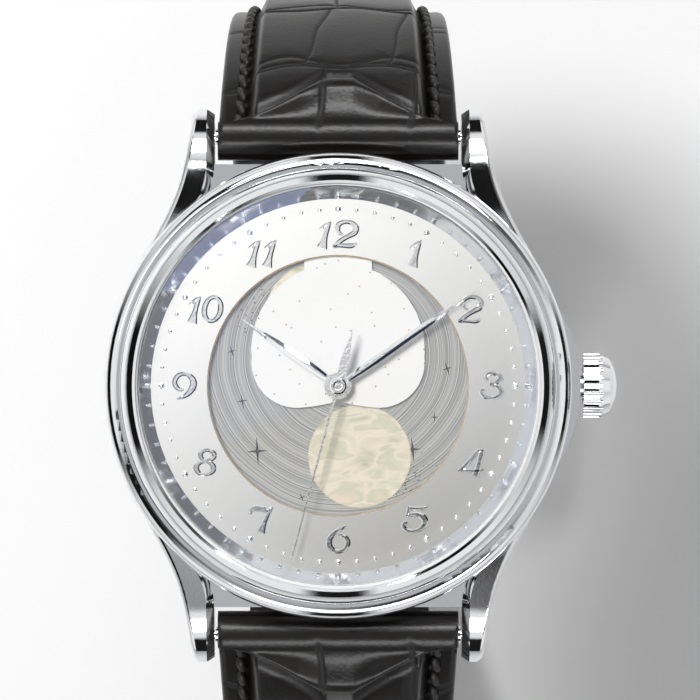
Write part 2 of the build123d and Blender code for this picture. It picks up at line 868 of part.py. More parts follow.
with BuildPart() as balance_cock:
    with BuildSketch(Plane.XY.offset(bridge_z)):
        add(cock_outline(0))
        with Locations(balance_place):
            Circle(jewel_radius + fit_clearance, mode=Mode.SUBTRACT)
    extrude(amount=bridge_thickness)
    with BuildSketch(level(cock_foot, bridge_top)):
        Circle(bridge_foot_radius)
    extrude(amount=plate_z - bridge_top)
    with BuildSketch(level(cock_foot, bridge_z)):
        Circle(screw_head_radius + running_clearance)
    extrude(amount=screw_head_height, mode=Mode.SUBTRACT)
    with BuildSketch(level(cock_foot, bridge_z)):
        Circle(screw_radius + fit_clearance)
    extrude(amount=screw_length, mode=Mode.SUBTRACT)
balance_cock.part.label = "balance_cock"
export_step(balance_cock.part, "parts/balance_cock.step")

with BuildPart() as bridge_screws:
    with BuildSketch(Plane.XY.offset(bridge_z)):
        with Locations(*barrel_feet, *train_feet, cock_foot):
            Circle(screw_head_radius)
    extrude(amount=screw_head_height)
    with BuildSketch(Plane.XY.offset(bridge_z)):
        with Locations(*barrel_feet, *train_feet, cock_foot):
            Rectangle(screw_head_radius * 3, screw_slot_width)
    extrude(amount=screw_head_height / 2, mode=Mode.SUBTRACT)
    with BuildSketch(Plane.XY.offset(bridge_z + screw_head_height)):
        with Locations(*barrel_feet, *train_feet, cock_foot):
            Circle(screw_radius)
    extrude(amount=screw_length - screw_head_height - running_clearance)
bridge_screws.part.label = "bridge_screws"
export_step(bridge_screws.part, "parts/bridge_screws.step")

with BuildPart() as jewels:
    with BuildSketch(Plane.XY.offset(bridge_z + running_clearance)):
        with Locations((0, 0), third_place, escape_place, balance_place):
            Circle(jewel_radius)
            Circle(arbor_radius + running_clearance, mode=Mode.SUBTRACT)
    extrude(amount=bridge_thickness - running_clearance)
jewels.part.label = "jewels"
export_step(jewels.part, "parts/jewels.step")

# Barrel with its cover, spring and fixed arbor
barrel_pitch_radius = barrel_module * barrel_teeth / 2
barrel_top = third_z + barrel_height

with BuildPart() as barrel:
    with BuildSketch(level(barrel_place, barrel_top - barrel_tooth_height)):
        add(toothed_face(barrel_teeth, barrel_pitch_radius, barrel_angle + 180 + 180 / barrel_teeth))
        Circle(barrel_arbor_radius + running_clearance, mode=Mode.SUBTRACT)
    extrude(amount=barrel_tooth_height)
    with BuildSketch(level(barrel_place, third_z + barrel_cover_thickness)):
        Circle(barrel_drum_radius)
        Circle(barrel_drum_radius - barrel_wall, mode=Mode.SUBTRACT)
    extrude(amount=barrel_height - barrel_cover_thickness - barrel_tooth_height)
barrel.part.label = "barrel"
export_step(barrel.part, "parts/barrel.step")

with BuildPart() as barrel_cover:
    with BuildSketch(level(barrel_place, third_z)):
        Circle(barrel_drum_radius)
        Circle(barrel_arbor_radius + running_clearance, mode=Mode.SUBTRACT)
    extrude(amount=barrel_cover_thickness)
barrel_cover.part.label = "barrel_cover"
export_step(barrel_cover.part, "parts/barrel_cover.step")

with BuildPart() as barrel_arbor:
    with BuildSketch(level(barrel_place, bridge_z)):
        Circle(barrel_arbor_radius)
    extrude(amount=plate_top - bridge_z)
barrel_arbor.part.label = "barrel_arbor"
export_step(barrel_arbor.part, "parts/barrel_arbor.step")


def spiral_points(inner_radius, outer_radius, turns, strip, steps):
    """Outline of a flat spiral strip, out along one side and back along the other."""
    edges = []
    for side in (1, -1):
        edge = []
        for step in range(turns * steps + 1):
            share = step / (turns * steps)
            radius = inner_radius + (outer_radius - inner_radius) * share + side * strip / 2
            edge.append(polar(radius, share * turns * 360))
        edges.append(edge)
    return edges[0] + edges[1][::-1]


with BuildPart() as mainspring:
    with BuildSketch(level(barrel_place, third_z + barrel_cover_thickness + running_clearance)):
        with BuildLine():
            Polyline(
                *spiral_points(
                    barrel_arbor_radius + mainspring_margin,
                    barrel_drum_radius - barrel_wall - mainspring_margin,
                    mainspring_turns,
                    mainspring_strip,
                    spiral_steps,
                ),
                close=True,
            )
        make_face()
    extrude(amount=barrel_height - barrel_cover_thickness - barrel_tooth_height - running_clearance * 2)
mainspring.part.label = "mainspring"
export_step(mainspring.part, "parts/mainspring.step")

# Going train: each wheel is in mesh at rest, a tooth of the driver in a gap of the driven
centre_pitch_radius = third_distance * centre_wheel_teeth / (centre_wheel_teeth + third_pinion_leaves)
third_pitch_radius = third_distance * third_wheel_teeth / (third_wheel_teeth + fourth_pinion_leaves)
third_pinion_radius = third_distance - centre_pitch_radius
fourth_pinion_radius = third_distance - third_pitch_radius
fourth_pitch_radius = escape_module * fourth_wheel_teeth / 2
escape_pinion_radius = escape_distance - fourth_pitch_radius
centre_pinion_radius = barrel_distance - barrel_pitch_radius
wheel_step = wheel_thickness + running_gap
arbor_foot = bridge_z + running_clearance * 2
arbor_head = plate_top - running_clearance * 2

with BuildPart() as centre_wheel:
    with BuildSketch(Plane.XY.offset(centre_z)):
        add(toothed_face(centre_wheel_teeth, centre_pitch_radius, third_angle))
        add(crossings(centre_pitch_radius * crossing_rim_share, wheel_hub_radius, wheel_arms, wheel_arm_width),
            mode=Mode.SUBTRACT)
    extrude(amount=wheel_thickness)
    with BuildSketch(Plane.XY.offset(centre_z - wheel_step - running_gap)):
        add(toothed_face(centre_pinion_leaves, centre_pinion_radius, barrel_angle))
    extrude(amount=wheel_step + running_gap)
    with BuildSketch(Plane.XY.offset(centre_z)):
        Circle(centre_tube_radius)
    extrude(amount=minute_hand_z - centre_z)
    with BuildSketch(Plane.XY):
        Circle(arbor_radius + running_clearance)
    extrude(amount=case_top * 2, mode=Mode.SUBTRACT)
centre_wheel.part.label = "centre_wheel"
export_step(centre_wheel.part, "parts/centre_wheel.step")

with BuildPart() as third_wheel:
    with BuildSketch(level(third_place, third_z)):
        add(toothed_face(third_wheel_teeth, third_pitch_radius, third_angle + 180))
        add(crossings(third_pitch_radius * crossing_rim_share, wheel_hub_radius, wheel_arms, wheel_arm_width),
            mode=Mode.SUBTRACT)
    extrude(amount=wheel_thickness)
    with BuildSketch(level(third_place, centre_z - running_clearance)):
        add(toothed_face(
            third_pinion_leaves, third_pinion_radius, third_angle + 180 + 180 / third_pinion_leaves))
    extrude(amount=wheel_thickness + running_clearance * 2)
    with BuildSketch(level(third_place, arbor_foot)):
        Circle(arbor_radius)
    extrude(amount=arbor_head - arbor_foot)
third_wheel.part.label = "third_wheel"
export_step(third_wheel.part, "parts/third_wheel.step")

with BuildPart() as fourth_wheel:
    with BuildSketch(Plane.XY.offset(fourth_z)):
        add(toothed_face(fourth_wheel_teeth, fourth_pitch_radius, escape_angle))
        add(crossings(fourth_pitch_radius * crossing_rim_share, wheel_hub_radius, wheel_arms, wheel_arm_width),
            mode=Mode.SUBTRACT)
    extrude(amount=wheel_thickness)
    with BuildSketch(Plane.XY.offset(third_z - running_clearance)):
        add(toothed_face(fourth_pinion_leaves, fourth_pinion_radius, third_angle + 180 / fourth_pinion_leaves))
    extrude(amount=wheel_thickness + running_clearance * 2)
    with BuildSketch(Plane.XY.offset(arbor_foot)):
        Circle(arbor_radius)
    extrude(amount=seconds_hand_z + hand_thickness - arbor_foot)
fourth_wheel.part.label = "fourth_wheel"
export_step(fourth_wheel.part, "parts/fourth_wheel.step")

with BuildPart() as escape_wheel:
    with BuildSketch(level(escape_place, escape_z)):
        add(toothed_face(escape_teeth, escape_radius, escape_angle))
        add(crossings(escape_radius * escape_rim_share, wheel_hub_radius / 2, wheel_arms, wheel_arm_width),
            mode=Mode.SUBTRACT)
    extrude(amount=wheel_thickness)
    with BuildSketch(level(escape_place, fourth_z - running_clearance)):
        add(toothed_face(
            escape_pinion_leaves, escape_pinion_radius, escape_angle + 180 + 180 / escape_pinion_leaves))
    extrude(amount=wheel_thickness + running_clearance * 2)
    with BuildSketch(level(escape_place, arbor_foot)):
        Circle(arbor_radius)
    extrude(amount=arbor_head - arbor_foot)
escape_wheel.part.label = "escape_wheel"
export_step(escape_wheel.part, "parts/escape_wheel.step")

# Pallet fork: two arms round the escape wheel and a lever towards the balance
fork_to_escape = math.degrees(math.atan2(fork_place[1] - escape_place[1], fork_place[0] - escape_place[0]))
fork_to_balance = math.degrees(math.atan2(balance_place[1] - fork_place[1], balance_place[0] - fork_place[0]))

with BuildPart() as pallet_fork:
    with BuildSketch(level(escape_place, escape_z)):
        with Locations(Location((0, 0, 0), (0, 0, fork_to_escape))):
            Circle(fork_arm_radius + fork_arm_width)
            Circle(fork_arm_radius, mode=Mode.SUBTRACT)
            with Locations((fork_arm_radius * fork_wrap_share, 0)):
                Rectangle(fork_arm_radius * 4, fork_arm_radius * 4, align=(Align.MAX, Align.CENTER), mode=Mode.SUBTRACT)
    extrude(amount=wheel_thickness)
    with BuildSketch(level(fork_place, escape_z)):
        Circle(fork_hub_radius)
        with Locations(Location((0, 0, 0), (0, 0, fork_to_balance))):
            Rectangle(fork_lever_length, fork_lever_width, align=(Align.MIN, Align.CENTER))
            with Locations((fork_lever_length, 0)):
                Rectangle(fork_lever_width * 2, fork_lever_width * 3)
            with Locations((fork_lever_length + fork_lever_width / 2, 0)):
                Rectangle(fork_lever_width, fork_lever_width, mode=Mode.SUBTRACT)
    extrude(amount=wheel_thickness)
    with BuildSketch(level(fork_place, centre_z)):
        Circle(arbor_radius)
    extrude(amount=arbor_head - centre_z)
pallet_fork.part.label = "pallet_fork"
export_step(pallet_fork.part, "parts/pallet_fork.step")

with BuildPart() as pallet_bridge:
    with BuildSketch(Plane.XY.offset(centre_z)):
        with Locations(fork_place):
            Circle(pallet_bridge_radius)
        with Locations(polar(pallet_foot_distance, pallet_foot_angle)):
            Circle(pallet_bridge_radius)
        make_hull()
        with Locations(fork_place):
            Circle(arbor_radius + running_clearance, mode=Mode.SUBTRACT)
    extrude(amount=wheel_thickness)
    with BuildSketch(level(polar(pallet_foot_distance, pallet_foot_angle), centre_z + wheel_thickness)):
        Circle(pallet_bridge_radius)
    extrude(amount=plate_z - centre_z - wheel_thickness)
pallet_bridge.part.label = "pallet_bridge"
export_step(pallet_bridge.part, "parts/pallet_bridge.step")

# Balance wheel with its staff and roller, and the flat hairspring under the cock
with BuildPart() as balance_wheel:
    with BuildSketch(level(balance_place, third_z)):
        Circle(balance_radius)
        add(crossings(balance_radius - balance_rim_width, wheel_hub_radius, balance_arms, balance_rim_width),
            mode=Mode.SUBTRACT)
    extrude(amount=balance_height)
    with BuildSketch(level(balance_place, third_z + balance_height)):
        Circle(balance_roller_radius)
    extrude(amount=centre_z - third_z - balance_height)
    with BuildSketch(level(balance_place, arbor_foot)):
        Circle(arbor_radius)
    extrude(amount=arbor_head - arbor_foot)
balance_wheel.part.label = "balance_wheel"
export_step(balance_wheel.part, "parts/balance_wheel.step")

with BuildPart() as hairspring:
    with BuildSketch(level(balance_place, bridge_top + running_clearance)):
        with BuildLine():
            Polyline(
                *spiral_points(
                    hairspring_inner_radius, hairspring_radius, hairspring_turns, hairspring_strip, spiral_steps
                ),
                close=True,
            )
        make_face()
    extrude(amount=hairspring_height)
hairspring.part.label = "hairspring"
export_step(hairspring.part, "parts/hairspring.step")

# Winding rotor with its heavy rim, and the post it turns on
with BuildPart() as rotor:
    with BuildSketch(Plane.XY.offset(rotor_z)):
        Circle(rotor_radius)
        with Locations((0, rotor_edge_place)):
            Rectangle(rotor_radius * 2, rotor_radius * 2, align=(Align.CENTER, Align.MIN), mode=Mode.SUBTRACT)
        Circle(rotor_hub_radius)
        Circle(rotor_post_radius + running_clearance, mode=Mode.SUBTRACT)
    extrude(amount=rotor_plate_thickness)
    with BuildSketch(Plane.XY.offset(rotor_z + rotor_plate_thickness)):
        Circle(rotor_radius)
        Circle(rotor_radius - rotor_rim_width, mode=Mode.SUBTRACT)
        with Locations((0, rotor_edge_place)):
            Rectangle(rotor_radius * 2, rotor_radius * 2, align=(Align.CENTER, Align.MIN), mode=Mode.SUBTRACT)
    extrude(amount=rotor_rim_height - rotor_plate_thickness)
rotor.part.label = "rotor"
export_step(rotor.part, "parts/rotor.step")

with BuildPart() as rotor_post:
    with BuildSketch(Plane.XY.offset(rotor_z - running_clearance / 2)):
        Circle(rotor_post_radius)
    extrude(amount=bridge_z - rotor_z + running_clearance / 2)
    with BuildSketch(Plane.XY.offset(rotor_z - rotor_cap_height - running_clearance / 2)):
        Circle(rotor_cap_radius)
    extrude(amount=rotor_cap_height)
rotor_post.part.label = "rotor_post"
export_step(rotor_post.part, "parts/rotor_post.step")

# Motion works under the dial: cannon pinion, minute wheel and hour wheel
motion_teeth = cannon_leaves + minute_wheel_teeth
cannon_pitch_radius = motion_distance * cannon_leaves / motion_teeth
minute_pitch_radius = motion_distance - cannon_pitch_radius
hour_pitch_radius = motion_distance * hour_wheel_teeth / (hour_wheel_teeth + minute_pinion_leaves)
minute_pinion_radius = motion_distance - hour_pitch_radius
cannon_bore_radius = centre_tube_radius + fit_clearance

with BuildPart() as cannon_pinion:
    with BuildSketch(Plane.XY.offset(minute_wheel_z)):
        add(toothed_face(cannon_leaves, cannon_pitch_radius, minute_wheel_angle))
        Circle(cannon_bore_radius, mode=Mode.SUBTRACT)
    extrude(amount=wheel_thickness)
    with BuildSketch(Plane.XY.offset(minute_wheel_z)):
        Circle(cannon_radius)
        Circle(cannon_bore_radius, mode=Mode.SUBTRACT)
    extrude(amount=minute_hand_z + hand_thickness - minute_wheel_z)
cannon_pinion.part.label = "cannon_pinion"
export_step(cannon_pinion.part, "parts/cannon_pinion.step")

with BuildPart() as minute_wheel:
    with BuildSketch(level(minute_wheel_place, minute_wheel_z)):
        add(toothed_face(
            minute_wheel_teeth, minute_pitch_radius, minute_wheel_angle + 180 + 180 / minute_wheel_teeth))
    extrude(amount=wheel_thickness)
    with BuildSketch(level(minute_wheel_place, minute_wheel_z + wheel_thickness)):
        add(toothed_face(minute_pinion_leaves, minute_pinion_radius, minute_wheel_angle + 180))
    extrude(amount=wheel_thickness + motion_gap)
    with BuildSketch(level(minute_wheel_place, minute_wheel_z)):
        Circle(minute_stud_radius + running_clearance)
    extrude(amount=case_shoulder_drop, mode=Mode.SUBTRACT)
minute_wheel.part.label = "minute_wheel"
export_step(minute_wheel.part, "parts/minute_wheel.step")

with BuildPart() as hour_wheel:
    with BuildSketch(Plane.XY.offset(hour_wheel_z)):
        add(toothed_face(hour_wheel_teeth, hour_pitch_radius, minute_wheel_angle + 180 / hour_wheel_teeth))
    extrude(amount=wheel_thickness)
    with BuildSketch(Plane.XY.offset(hour_wheel_z)):
        Circle(hour_tube_radius)
    extrude(amount=hour_hand_z + hand_thickness - hour_wheel_z)
    with BuildSketch(Plane.XY.offset(hour_wheel_z)):
        Circle(cannon_radius + running_clearance)
    extrude(amount=case_top, mode=Mode.SUBTRACT)
hour_wheel.part.label = "hour_wheel"
export_step(hour_wheel.part, "parts/hour_wheel.step")

# Moon plate: a shallow cover over the motion works, with the hub that the moon disc turns on
with BuildPart() as moon_plate:
    with BuildSketch(Plane.XY.offset(moon_plate_z)):
        Circle(moon_plate_radius)
    extrude(amount=wheel_thickness)
    with BuildSketch(Plane.XY.offset(plate_top)):
        Circle(moon_plate_radius)
        Circle(moon_plate_radius - moon_plate_wall, mode=Mode.SUBTRACT)
    extrude(amount=moon_plate_z - plate_top)
    with BuildSketch(Plane.XY.offset(moon_plate_z)):
        Circle(moon_hub_radius)
    extrude(amount=moon_disc_z + moon_disc_thickness - moon_plate_z)
    with BuildSketch(Plane.XY.offset(moon_plate_z)):
        Circle(moon_hub_radius - moon_hub_wall)
    extrude(amount=moon_disc_z, mode=Mode.SUBTRACT)
moon_plate.part.label = "moon_plate"
export_step(moon_plate.part, "parts/moon_plate.step")

# Moon disc: driven by its rim teeth, one for each day of two moons
with BuildPart() as moon_disc:
    with BuildSketch(Plane.XY.offset(moon_disc_z)):
        add(toothed_face(moon_disc_teeth, moon_disc_pitch_radius, 0))
        Circle(moon_hub_radius + running_clearance, mode=Mode.SUBTRACT)
    extrude(amount=moon_disc_thickness)
moon_disc.part.label = "moon_disc"
export_step(moon_disc.part, "parts/moon_disc.step")

with BuildPart() as moon_inlays:
    with BuildSketch(Plane.XY.offset(moon_disc_z + moon_disc_thickness)):
        with Locations(polar(moon_distance, moon_angle), polar(moon_distance, moon_angle + 180)):
            Circle(moon_radius)
    extrude(amount=moon_inlay_height)
moon_inlays.part.label = "moon_inlays"
export_step(moon_inlays.part, "parts/moon_inlays.step")

# Sky plate: the fixed mask with two lobes that hides the waning and the new moon
sky_lobe_place = sky_radius - sky_lobe_radius
sky_lobe_height = sky_centre_rise - sky_lobe_drop

with BuildPart() as sky_plate:
    with BuildSketch(Plane.XY.offset(sky_z)):
        with Locations((0, sky_centre_rise)):
            Circle(sky_radius)
        with Locations((0, sky_lobe_height)):
            Rectangle(sky_radius * 2, sky_radius, align=(Align.CENTER, Align.MAX), mode=Mode.SUBTRACT)
        with Locations((sky_lobe_place, sky_lobe_height), (-sky_lobe_place, sky_lobe_height)):
            Circle(sky_lobe_radius)
        with BuildLine():
            ThreePointArc(
                (-sky_lobe_place, sky_lobe_height - sky_lobe_radius),
                (-sky_lobe_place / 2, (sky_lobe_height - sky_lobe_radius - sky_notch_drop) / 2 - sky_notch_bulge),
                (0, -sky_notch_drop),
            )
            ThreePointArc(
                (0, -sky_notch_drop),
                (sky_lobe_place / 2, (sky_lobe_height - sky_lobe_radius - sky_notch_drop) / 2 - sky_notch_bulge),
                (sky_lobe_place, sky_lobe_height - sky_lobe_radius),
            )
            Polyline(
                (sky_lobe_place, sky_lobe_height - sky_lobe_radius),
                (sky_lobe_place, sky_lobe_height + sky_notch_drop),
                (-sky_lobe_place, sky_lobe_height + sky_notch_drop),
                (-sky_lobe_place, sky_lobe_height - sky_lobe_radius),
            )
        make_face()
        with Locations((0, sky_centre_rise)):
            Rectangle(sky_tab_width, sky_tab_reach - sky_centre_rise, align=(Align.CENTER, Align.MIN))
        Circle(dial_hole_radius, mode=Mode.SUBTRACT)
    extrude(amount=sky_plate_thickness)
sky_plate.part.label = "sky_plate"
export_step(sky_plate.part, "parts/sky_plate.step")

# Dial: a wide ring round the moon disc, bevelled at its opening
with BuildPart() as dial:
    with BuildSketch(Plane.XY.offset(dial_z)):
        Circle(case_bore_radius - dial_clearance)
        Circle(dial_opening_radius, mode=Mode.SUBTRACT)
    extrude(amount=dial_thickness)
    opening_rim = dial.edges().filter_by(GeomType.CIRCLE).group_by(Axis.Z)[-1].sort_by(SortBy.RADIUS)[0]
    chamfer(opening_rim, length=dial_opening_bevel)
dial.part.label = "dial"
export_step(dial.part, "parts/dial.step")


def clock_plane(angle, height):
    """Plane whose local Y points to a clock angle, counted from 12 o'clock to the right."""
    turn = math.radians(-angle)
    return Plane(origin=(0, 0, height), x_dir=(math.cos(turn), math.sin(turn), 0), z_dir=(0, 0, 1))


def leaf_face(start, length, width):
    """Leaf outline along local Y from a start distance to a length, widest at its belly."""
    belly = start + (length - start) * hand_belly_share
    with BuildSketch(mode=Mode.PRIVATE) as leaf:
        with BuildLine():
            Spline((width * hand_root_share, start), (width / 2, belly), (0, length), tangents=[(0.1, 1), (-0.08, 1)])
            Spline((-width * hand_root_share, start), (-width / 2, belly), (0, length), tangents=[(-0.1, 1), (0.08, 1)])
            Line((-width * hand_root_share, start), (width * hand_root_share, start))
        make_face()
    return leaf.sketch


# Hands: ridged leaves on round bosses, and a needle with a leaf for its tail
with BuildPart() as hour_hand:
    with BuildSketch(clock_plane(hour_hand_angle, hour_hand_z)):
        add(leaf_face(hour_tube_radius + fit_clearance, hour_hand_length, hour_hand_width))
    with BuildSketch(clock_plane(hour_hand_angle, hour_hand_z + hand_thickness)):
        add(leaf_face(hour_tube_radius + fit_clearance, hour_hand_length, hour_hand_width * hand_ridge_share))
    loft(ruled=True)
    with BuildSketch(Plane.XY.offset(hour_hand_z)):
        Circle(hour_boss_radius)
    extrude(amount=hand_thickness)
    with BuildSketch(Plane.XY.offset(hour_hand_z)):
        Circle(hour_tube_radius + fit_clearance)
    extrude(amount=hand_thickness, mode=Mode.SUBTRACT)
hour_hand.part.label = "hour_hand"
export_step(hour_hand.part, "parts/hour_hand.step")

with BuildPart() as minute_hand:
    with BuildSketch(clock_plane(minute_hand_angle, minute_hand_z)):
        add(leaf_face(cannon_radius + fit_clearance, minute_hand_length, minute_hand_width))
    with BuildSketch(clock_plane(minute_hand_angle, minute_hand_z + hand_thickness)):
        add(leaf_face(cannon_radius + fit_clearance, minute_hand_length, minute_hand_width * hand_ridge_share))
    loft(ruled=True)
    with BuildSketch(Plane.XY.offset(minute_hand_z)):
        Circle(minute_boss_radius)
    extrude(amount=hand_thickness)
    with BuildSketch(Plane.XY.offset(minute_hand_z)):
        Circle(cannon_radius + fit_clearance)
    extrude(amount=hand_thickness, mode=Mode.SUBTRACT)
minute_hand.part.label = "minute_hand"
export_step(minute_hand.part, "parts/minute_hand.step")

with BuildPart() as seconds_hand:
    with BuildSketch(clock_plane(seconds_hand_angle, seconds_hand_z)):
        with BuildLine():
            Polyline(
                (-seconds_hand_width / 2, 0),
                (seconds_hand_width / 2, 0),
                (seconds_hand_width * hand_tip_share / 2, seconds_hand_length),
                (-seconds_hand_width * hand_tip_share / 2, seconds_hand_length),
                close=True,
            )
        make_face()
        Circle(seconds_boss_radius)
    extrude(amount=hand_thickness)
    with BuildSketch(clock_plane(seconds_hand_angle + 180, seconds_hand_z)):
        add(leaf_face(arbor_radius + fit_clearance, seconds_tail_length, seconds_tail_width))
    extrude(amount=hand_thickness)
    with BuildSketch(Plane.XY.offset(seconds_hand_z + hand_thickness)):
        Circle(seconds_cap_radius)
    extrude(amount=seconds_cap_height)
    with BuildSketch(Plane.XY.offset(seconds_hand_z)):
        Circle(arbor_radius + fit_clearance)
    extrude(amount=hand_thickness, mode=Mode.SUBTRACT)
seconds_hand.part.label = "seconds_hand"
export_step(seconds_hand.part, "parts/seconds_hand.step")

# Strap halves: each leaves its spring bar at a lean, runs straight and then follows one arc
strap_width = lug_gap - leather_clearance * 2


def strap_frame(side, radius, lean, place):
    """Centre, tangent and outward normal of a strap half at a distance from its bar, in (Y, Z)."""
    angle = math.radians(-lean)
    reach = bar_reach + min(place, strap_straight) * math.cos(angle)
    height = bar_height + min(place, strap_straight) * math.sin(angle)
    if place > strap_straight:
        turned = angle - (place - strap_straight) / radius
        reach += radius * (math.sin(angle) - math.sin(turned))
        height += radius * (math.cos(turned) - math.cos(angle))
        angle = turned
    return (side * reach, height), (side * math.cos(angle), math.sin(angle)), (-side * math.sin(angle), math.cos(angle))


def strap_section(side, radius, lean, place):
    """Plane square to the strap, with local Y pointing out of its curve."""
    centre, tangent, _ = strap_frame(side, radius, lean, place)
    return Plane(origin=(0, *centre), x_dir=(-side, 0, 0), z_dir=(0, *tangent))


def strap_surface(side, radius, lean, place):
    """Plane that lies in the strap, with its normal pointing out of the curve."""
    centre, _, outward = strap_frame(side, radius, lean, place)
    return Plane(origin=(0, *centre), x_dir=(1, 0, 0), z_dir=(0, *outward))


def strap_size(place):
    """Width and thickness of a strap half at a distance from its bar."""
    share = min(place / strap_taper_length, 1)
    return (
        strap_width + (strap_end_width - strap_width) * share,
        strap_thickness + (strap_end_thickness - strap_thickness) * share,
    )


def padded_face(width, thickness):
    """Strap section: flat lining, thin edges and a crowned outer face."""
    edge = -thickness / 2 + thickness * strap_edge_share
    inset = min(strap_pad_inset, width * strap_pad_inset / strap_end_width)
    with BuildSketch(mode=Mode.PRIVATE) as section:
        with BuildLine():
            Polyline(
                (-width / 2, -thickness / 2),
                (width / 2, -thickness / 2),
                (width / 2, edge),
                (width / 2 - inset, thickness / 2),
                (inset - width / 2, thickness / 2),
                (-width / 2, edge),
                close=True,
            )
        make_face()
    return section.sketch


def strap_places(length, steps):
    """Distances from the bar at which a strap half has a section, up to a length."""
    return [0, strap_straight] + [
        strap_straight + (length - strap_straight) * step / steps for step in range(1, steps + 1)
    ]


short_curve = (1, short_strap_radius, short_strap_lean)
long_curve = (-1, long_strap_radius, long_strap_lean)

with BuildPart() as strap_short:
    for place in strap_places(short_strap_length, short_strap_sections):
        with BuildSketch(strap_section(*short_curve, place)):
            add(padded_face(*strap_size(place)))
    loft(ruled=True)
    for place, radius, width in (
        (0, strap_thickness / 2, strap_width),
        (short_strap_length, buckle_eye_radius, strap_end_width),
    ):
        with BuildSketch(Plane(origin=(0, *strap_frame(*short_curve, place)[0]), z_dir=(1, 0, 0))):
            Circle(radius)
        extrude(amount=width / 2, both=True)
        with BuildSketch(Plane(origin=(0, *strap_frame(*short_curve, place)[0]), z_dir=(1, 0, 0))):
            Circle(bar_radius + running_clearance)
        extrude(amount=width, both=True, mode=Mode.SUBTRACT)
    with BuildSketch(strap_surface(*short_curve, short_strap_length)):
        with Locations((0, buckle_eye_radius + overrun)):
            Rectangle(tang_slot_width, tang_slot_length + overrun, align=(Align.CENTER, Align.MAX))
    extrude(amount=strap_thickness, both=True, mode=Mode.SUBTRACT)
strap_short.part.label = "strap_short"
export_step(strap_short.part, "parts/strap_short.step")

with BuildPart() as strap_long:
    for place in strap_places(long_strap_length - strap_tip_length, long_strap_sections):
        with BuildSketch(strap_section(*long_curve, place)):
            add(padded_face(*strap_size(place)))
    for share in strap_tip_shares:
        place = long_strap_length - strap_tip_length + strap_tip_length * share
        with BuildSketch(strap_section(*long_curve, place)):
            add(padded_face(strap_end_width * math.sqrt(1 - share**2), strap_end_thickness))
    loft(ruled=True)
    with BuildSketch(Plane(origin=(0, -bar_reach, bar_height), z_dir=(1, 0, 0))):
        Circle(strap_thickness / 2)
    extrude(amount=strap_width / 2, both=True)
    with BuildSketch(Plane(origin=(0, -bar_reach, bar_height), z_dir=(1, 0, 0))):
        Circle(bar_radius + running_clearance)
    extrude(amount=strap_width, both=True, mode=Mode.SUBTRACT)
    for hole in range(strap_hole_count):
        place = long_strap_length - strap_hole_margin - strap_hole_pitch * hole
        with BuildSketch(strap_surface(*long_curve, place)):
            Circle(strap_hole_radius)
        extrude(amount=strap_thickness, both=True, mode=Mode.SUBTRACT)
strap_long.part.label = "strap_long"
export_step(strap_long.part, "parts/strap_long.step")


def keeper_face(place, drop):
    """Section of a leather loop round the strap, with room for the other half above it."""
    width = strap_size(place)[0] + leather_clearance * 2
    with BuildSketch(mode=Mode.PRIVATE) as loop:
        with Locations((0, -drop - keeper_wall)):
            Rectangle(
                width + keeper_wall * 2,
                drop + keeper_inner_rise + keeper_wall * 2,
                align=(Align.CENTER, Align.MIN),
            )
        with Locations((0, -drop)):
            Rectangle(width, drop + keeper_inner_rise, align=(Align.CENTER, Align.MIN), mode=Mode.SUBTRACT)
    return loop.sketch


with BuildPart() as fixed_keeper:
    with BuildSketch(strap_section(*short_curve, fixed_keeper_place)):
        add(keeper_face(fixed_keeper_place, strap_end_thickness / 2 + leather_clearance))
    extrude(amount=keeper_width / 2, both=True)
fixed_keeper.part.label = "fixed_keeper"
export_step(fixed_keeper.part, "parts/fixed_keeper.step")

with BuildPart() as sliding_keeper:
    with BuildSketch(strap_section(*short_curve, sliding_keeper_place)):
        add(keeper_face(sliding_keeper_place, keeper_inner_drop))
    extrude(amount=keeper_width / 2, both=True)
sliding_keeper.part.label = "sliding_keeper"
export_step(sliding_keeper.part, "parts/sliding_keeper.step")

# Pin buckle: a frame on a bar through the strap's end, and a tang that rests across its nose
buckle_plane = strap_surface(*short_curve, short_strap_length)
buckle_centre = strap_frame(*short_curve, short_strap_length)[0]
buckle_bar_plane = Plane(origin=(0, *buckle_centre), z_dir=(1, 0, 0))
buckle_inner_width = strap_end_width + leather_clearance * 2
buckle_outer_width = buckle_inner_width + buckle_side_width * 2
tang_lean = math.atan2(
    buckle_thickness / 2 + tang_radius + running_clearance * 2, buckle_length - buckle_nose
)
tang_length = (buckle_length + tang_overhang) / math.cos(tang_lean)

with BuildPart() as buckle_frame:
    with BuildSketch(buckle_plane.offset(-buckle_thickness / 2)):
        Rectangle(buckle_outer_width, buckle_length, align=(Align.CENTER, Align.MIN))
        fillet(vertices().sort_by(Axis.Y)[2:], radius=buckle_corner)
        Rectangle(
            buckle_inner_width,
            buckle_length - buckle_nose,
            align=(Align.CENTER, Align.MIN),
            mode=Mode.SUBTRACT,
        )
    extrude(amount=buckle_thickness)
    for side in (1, -1):
        with BuildSketch(buckle_bar_plane.offset(side * buckle_inner_width / 2)):
            Circle(buckle_eye_radius)
        extrude(amount=side * buckle_side_width)
    with BuildSketch(buckle_bar_plane):
        Circle(buckle_bar_radius + fit_clearance)
    extrude(amount=buckle_outer_width, both=True, mode=Mode.SUBTRACT)
buckle_frame.part.label = "buckle_frame"
export_step(buckle_frame.part, "parts/buckle_frame.step")

with BuildPart() as buckle_bar:
    with BuildSketch(buckle_bar_plane):
        Circle(buckle_bar_radius)
    extrude(amount=buckle_outer_width / 2 - running_clearance, both=True)
buckle_bar.part.label = "buckle_bar"
export_step(buckle_bar.part, "parts/buckle_bar.step")

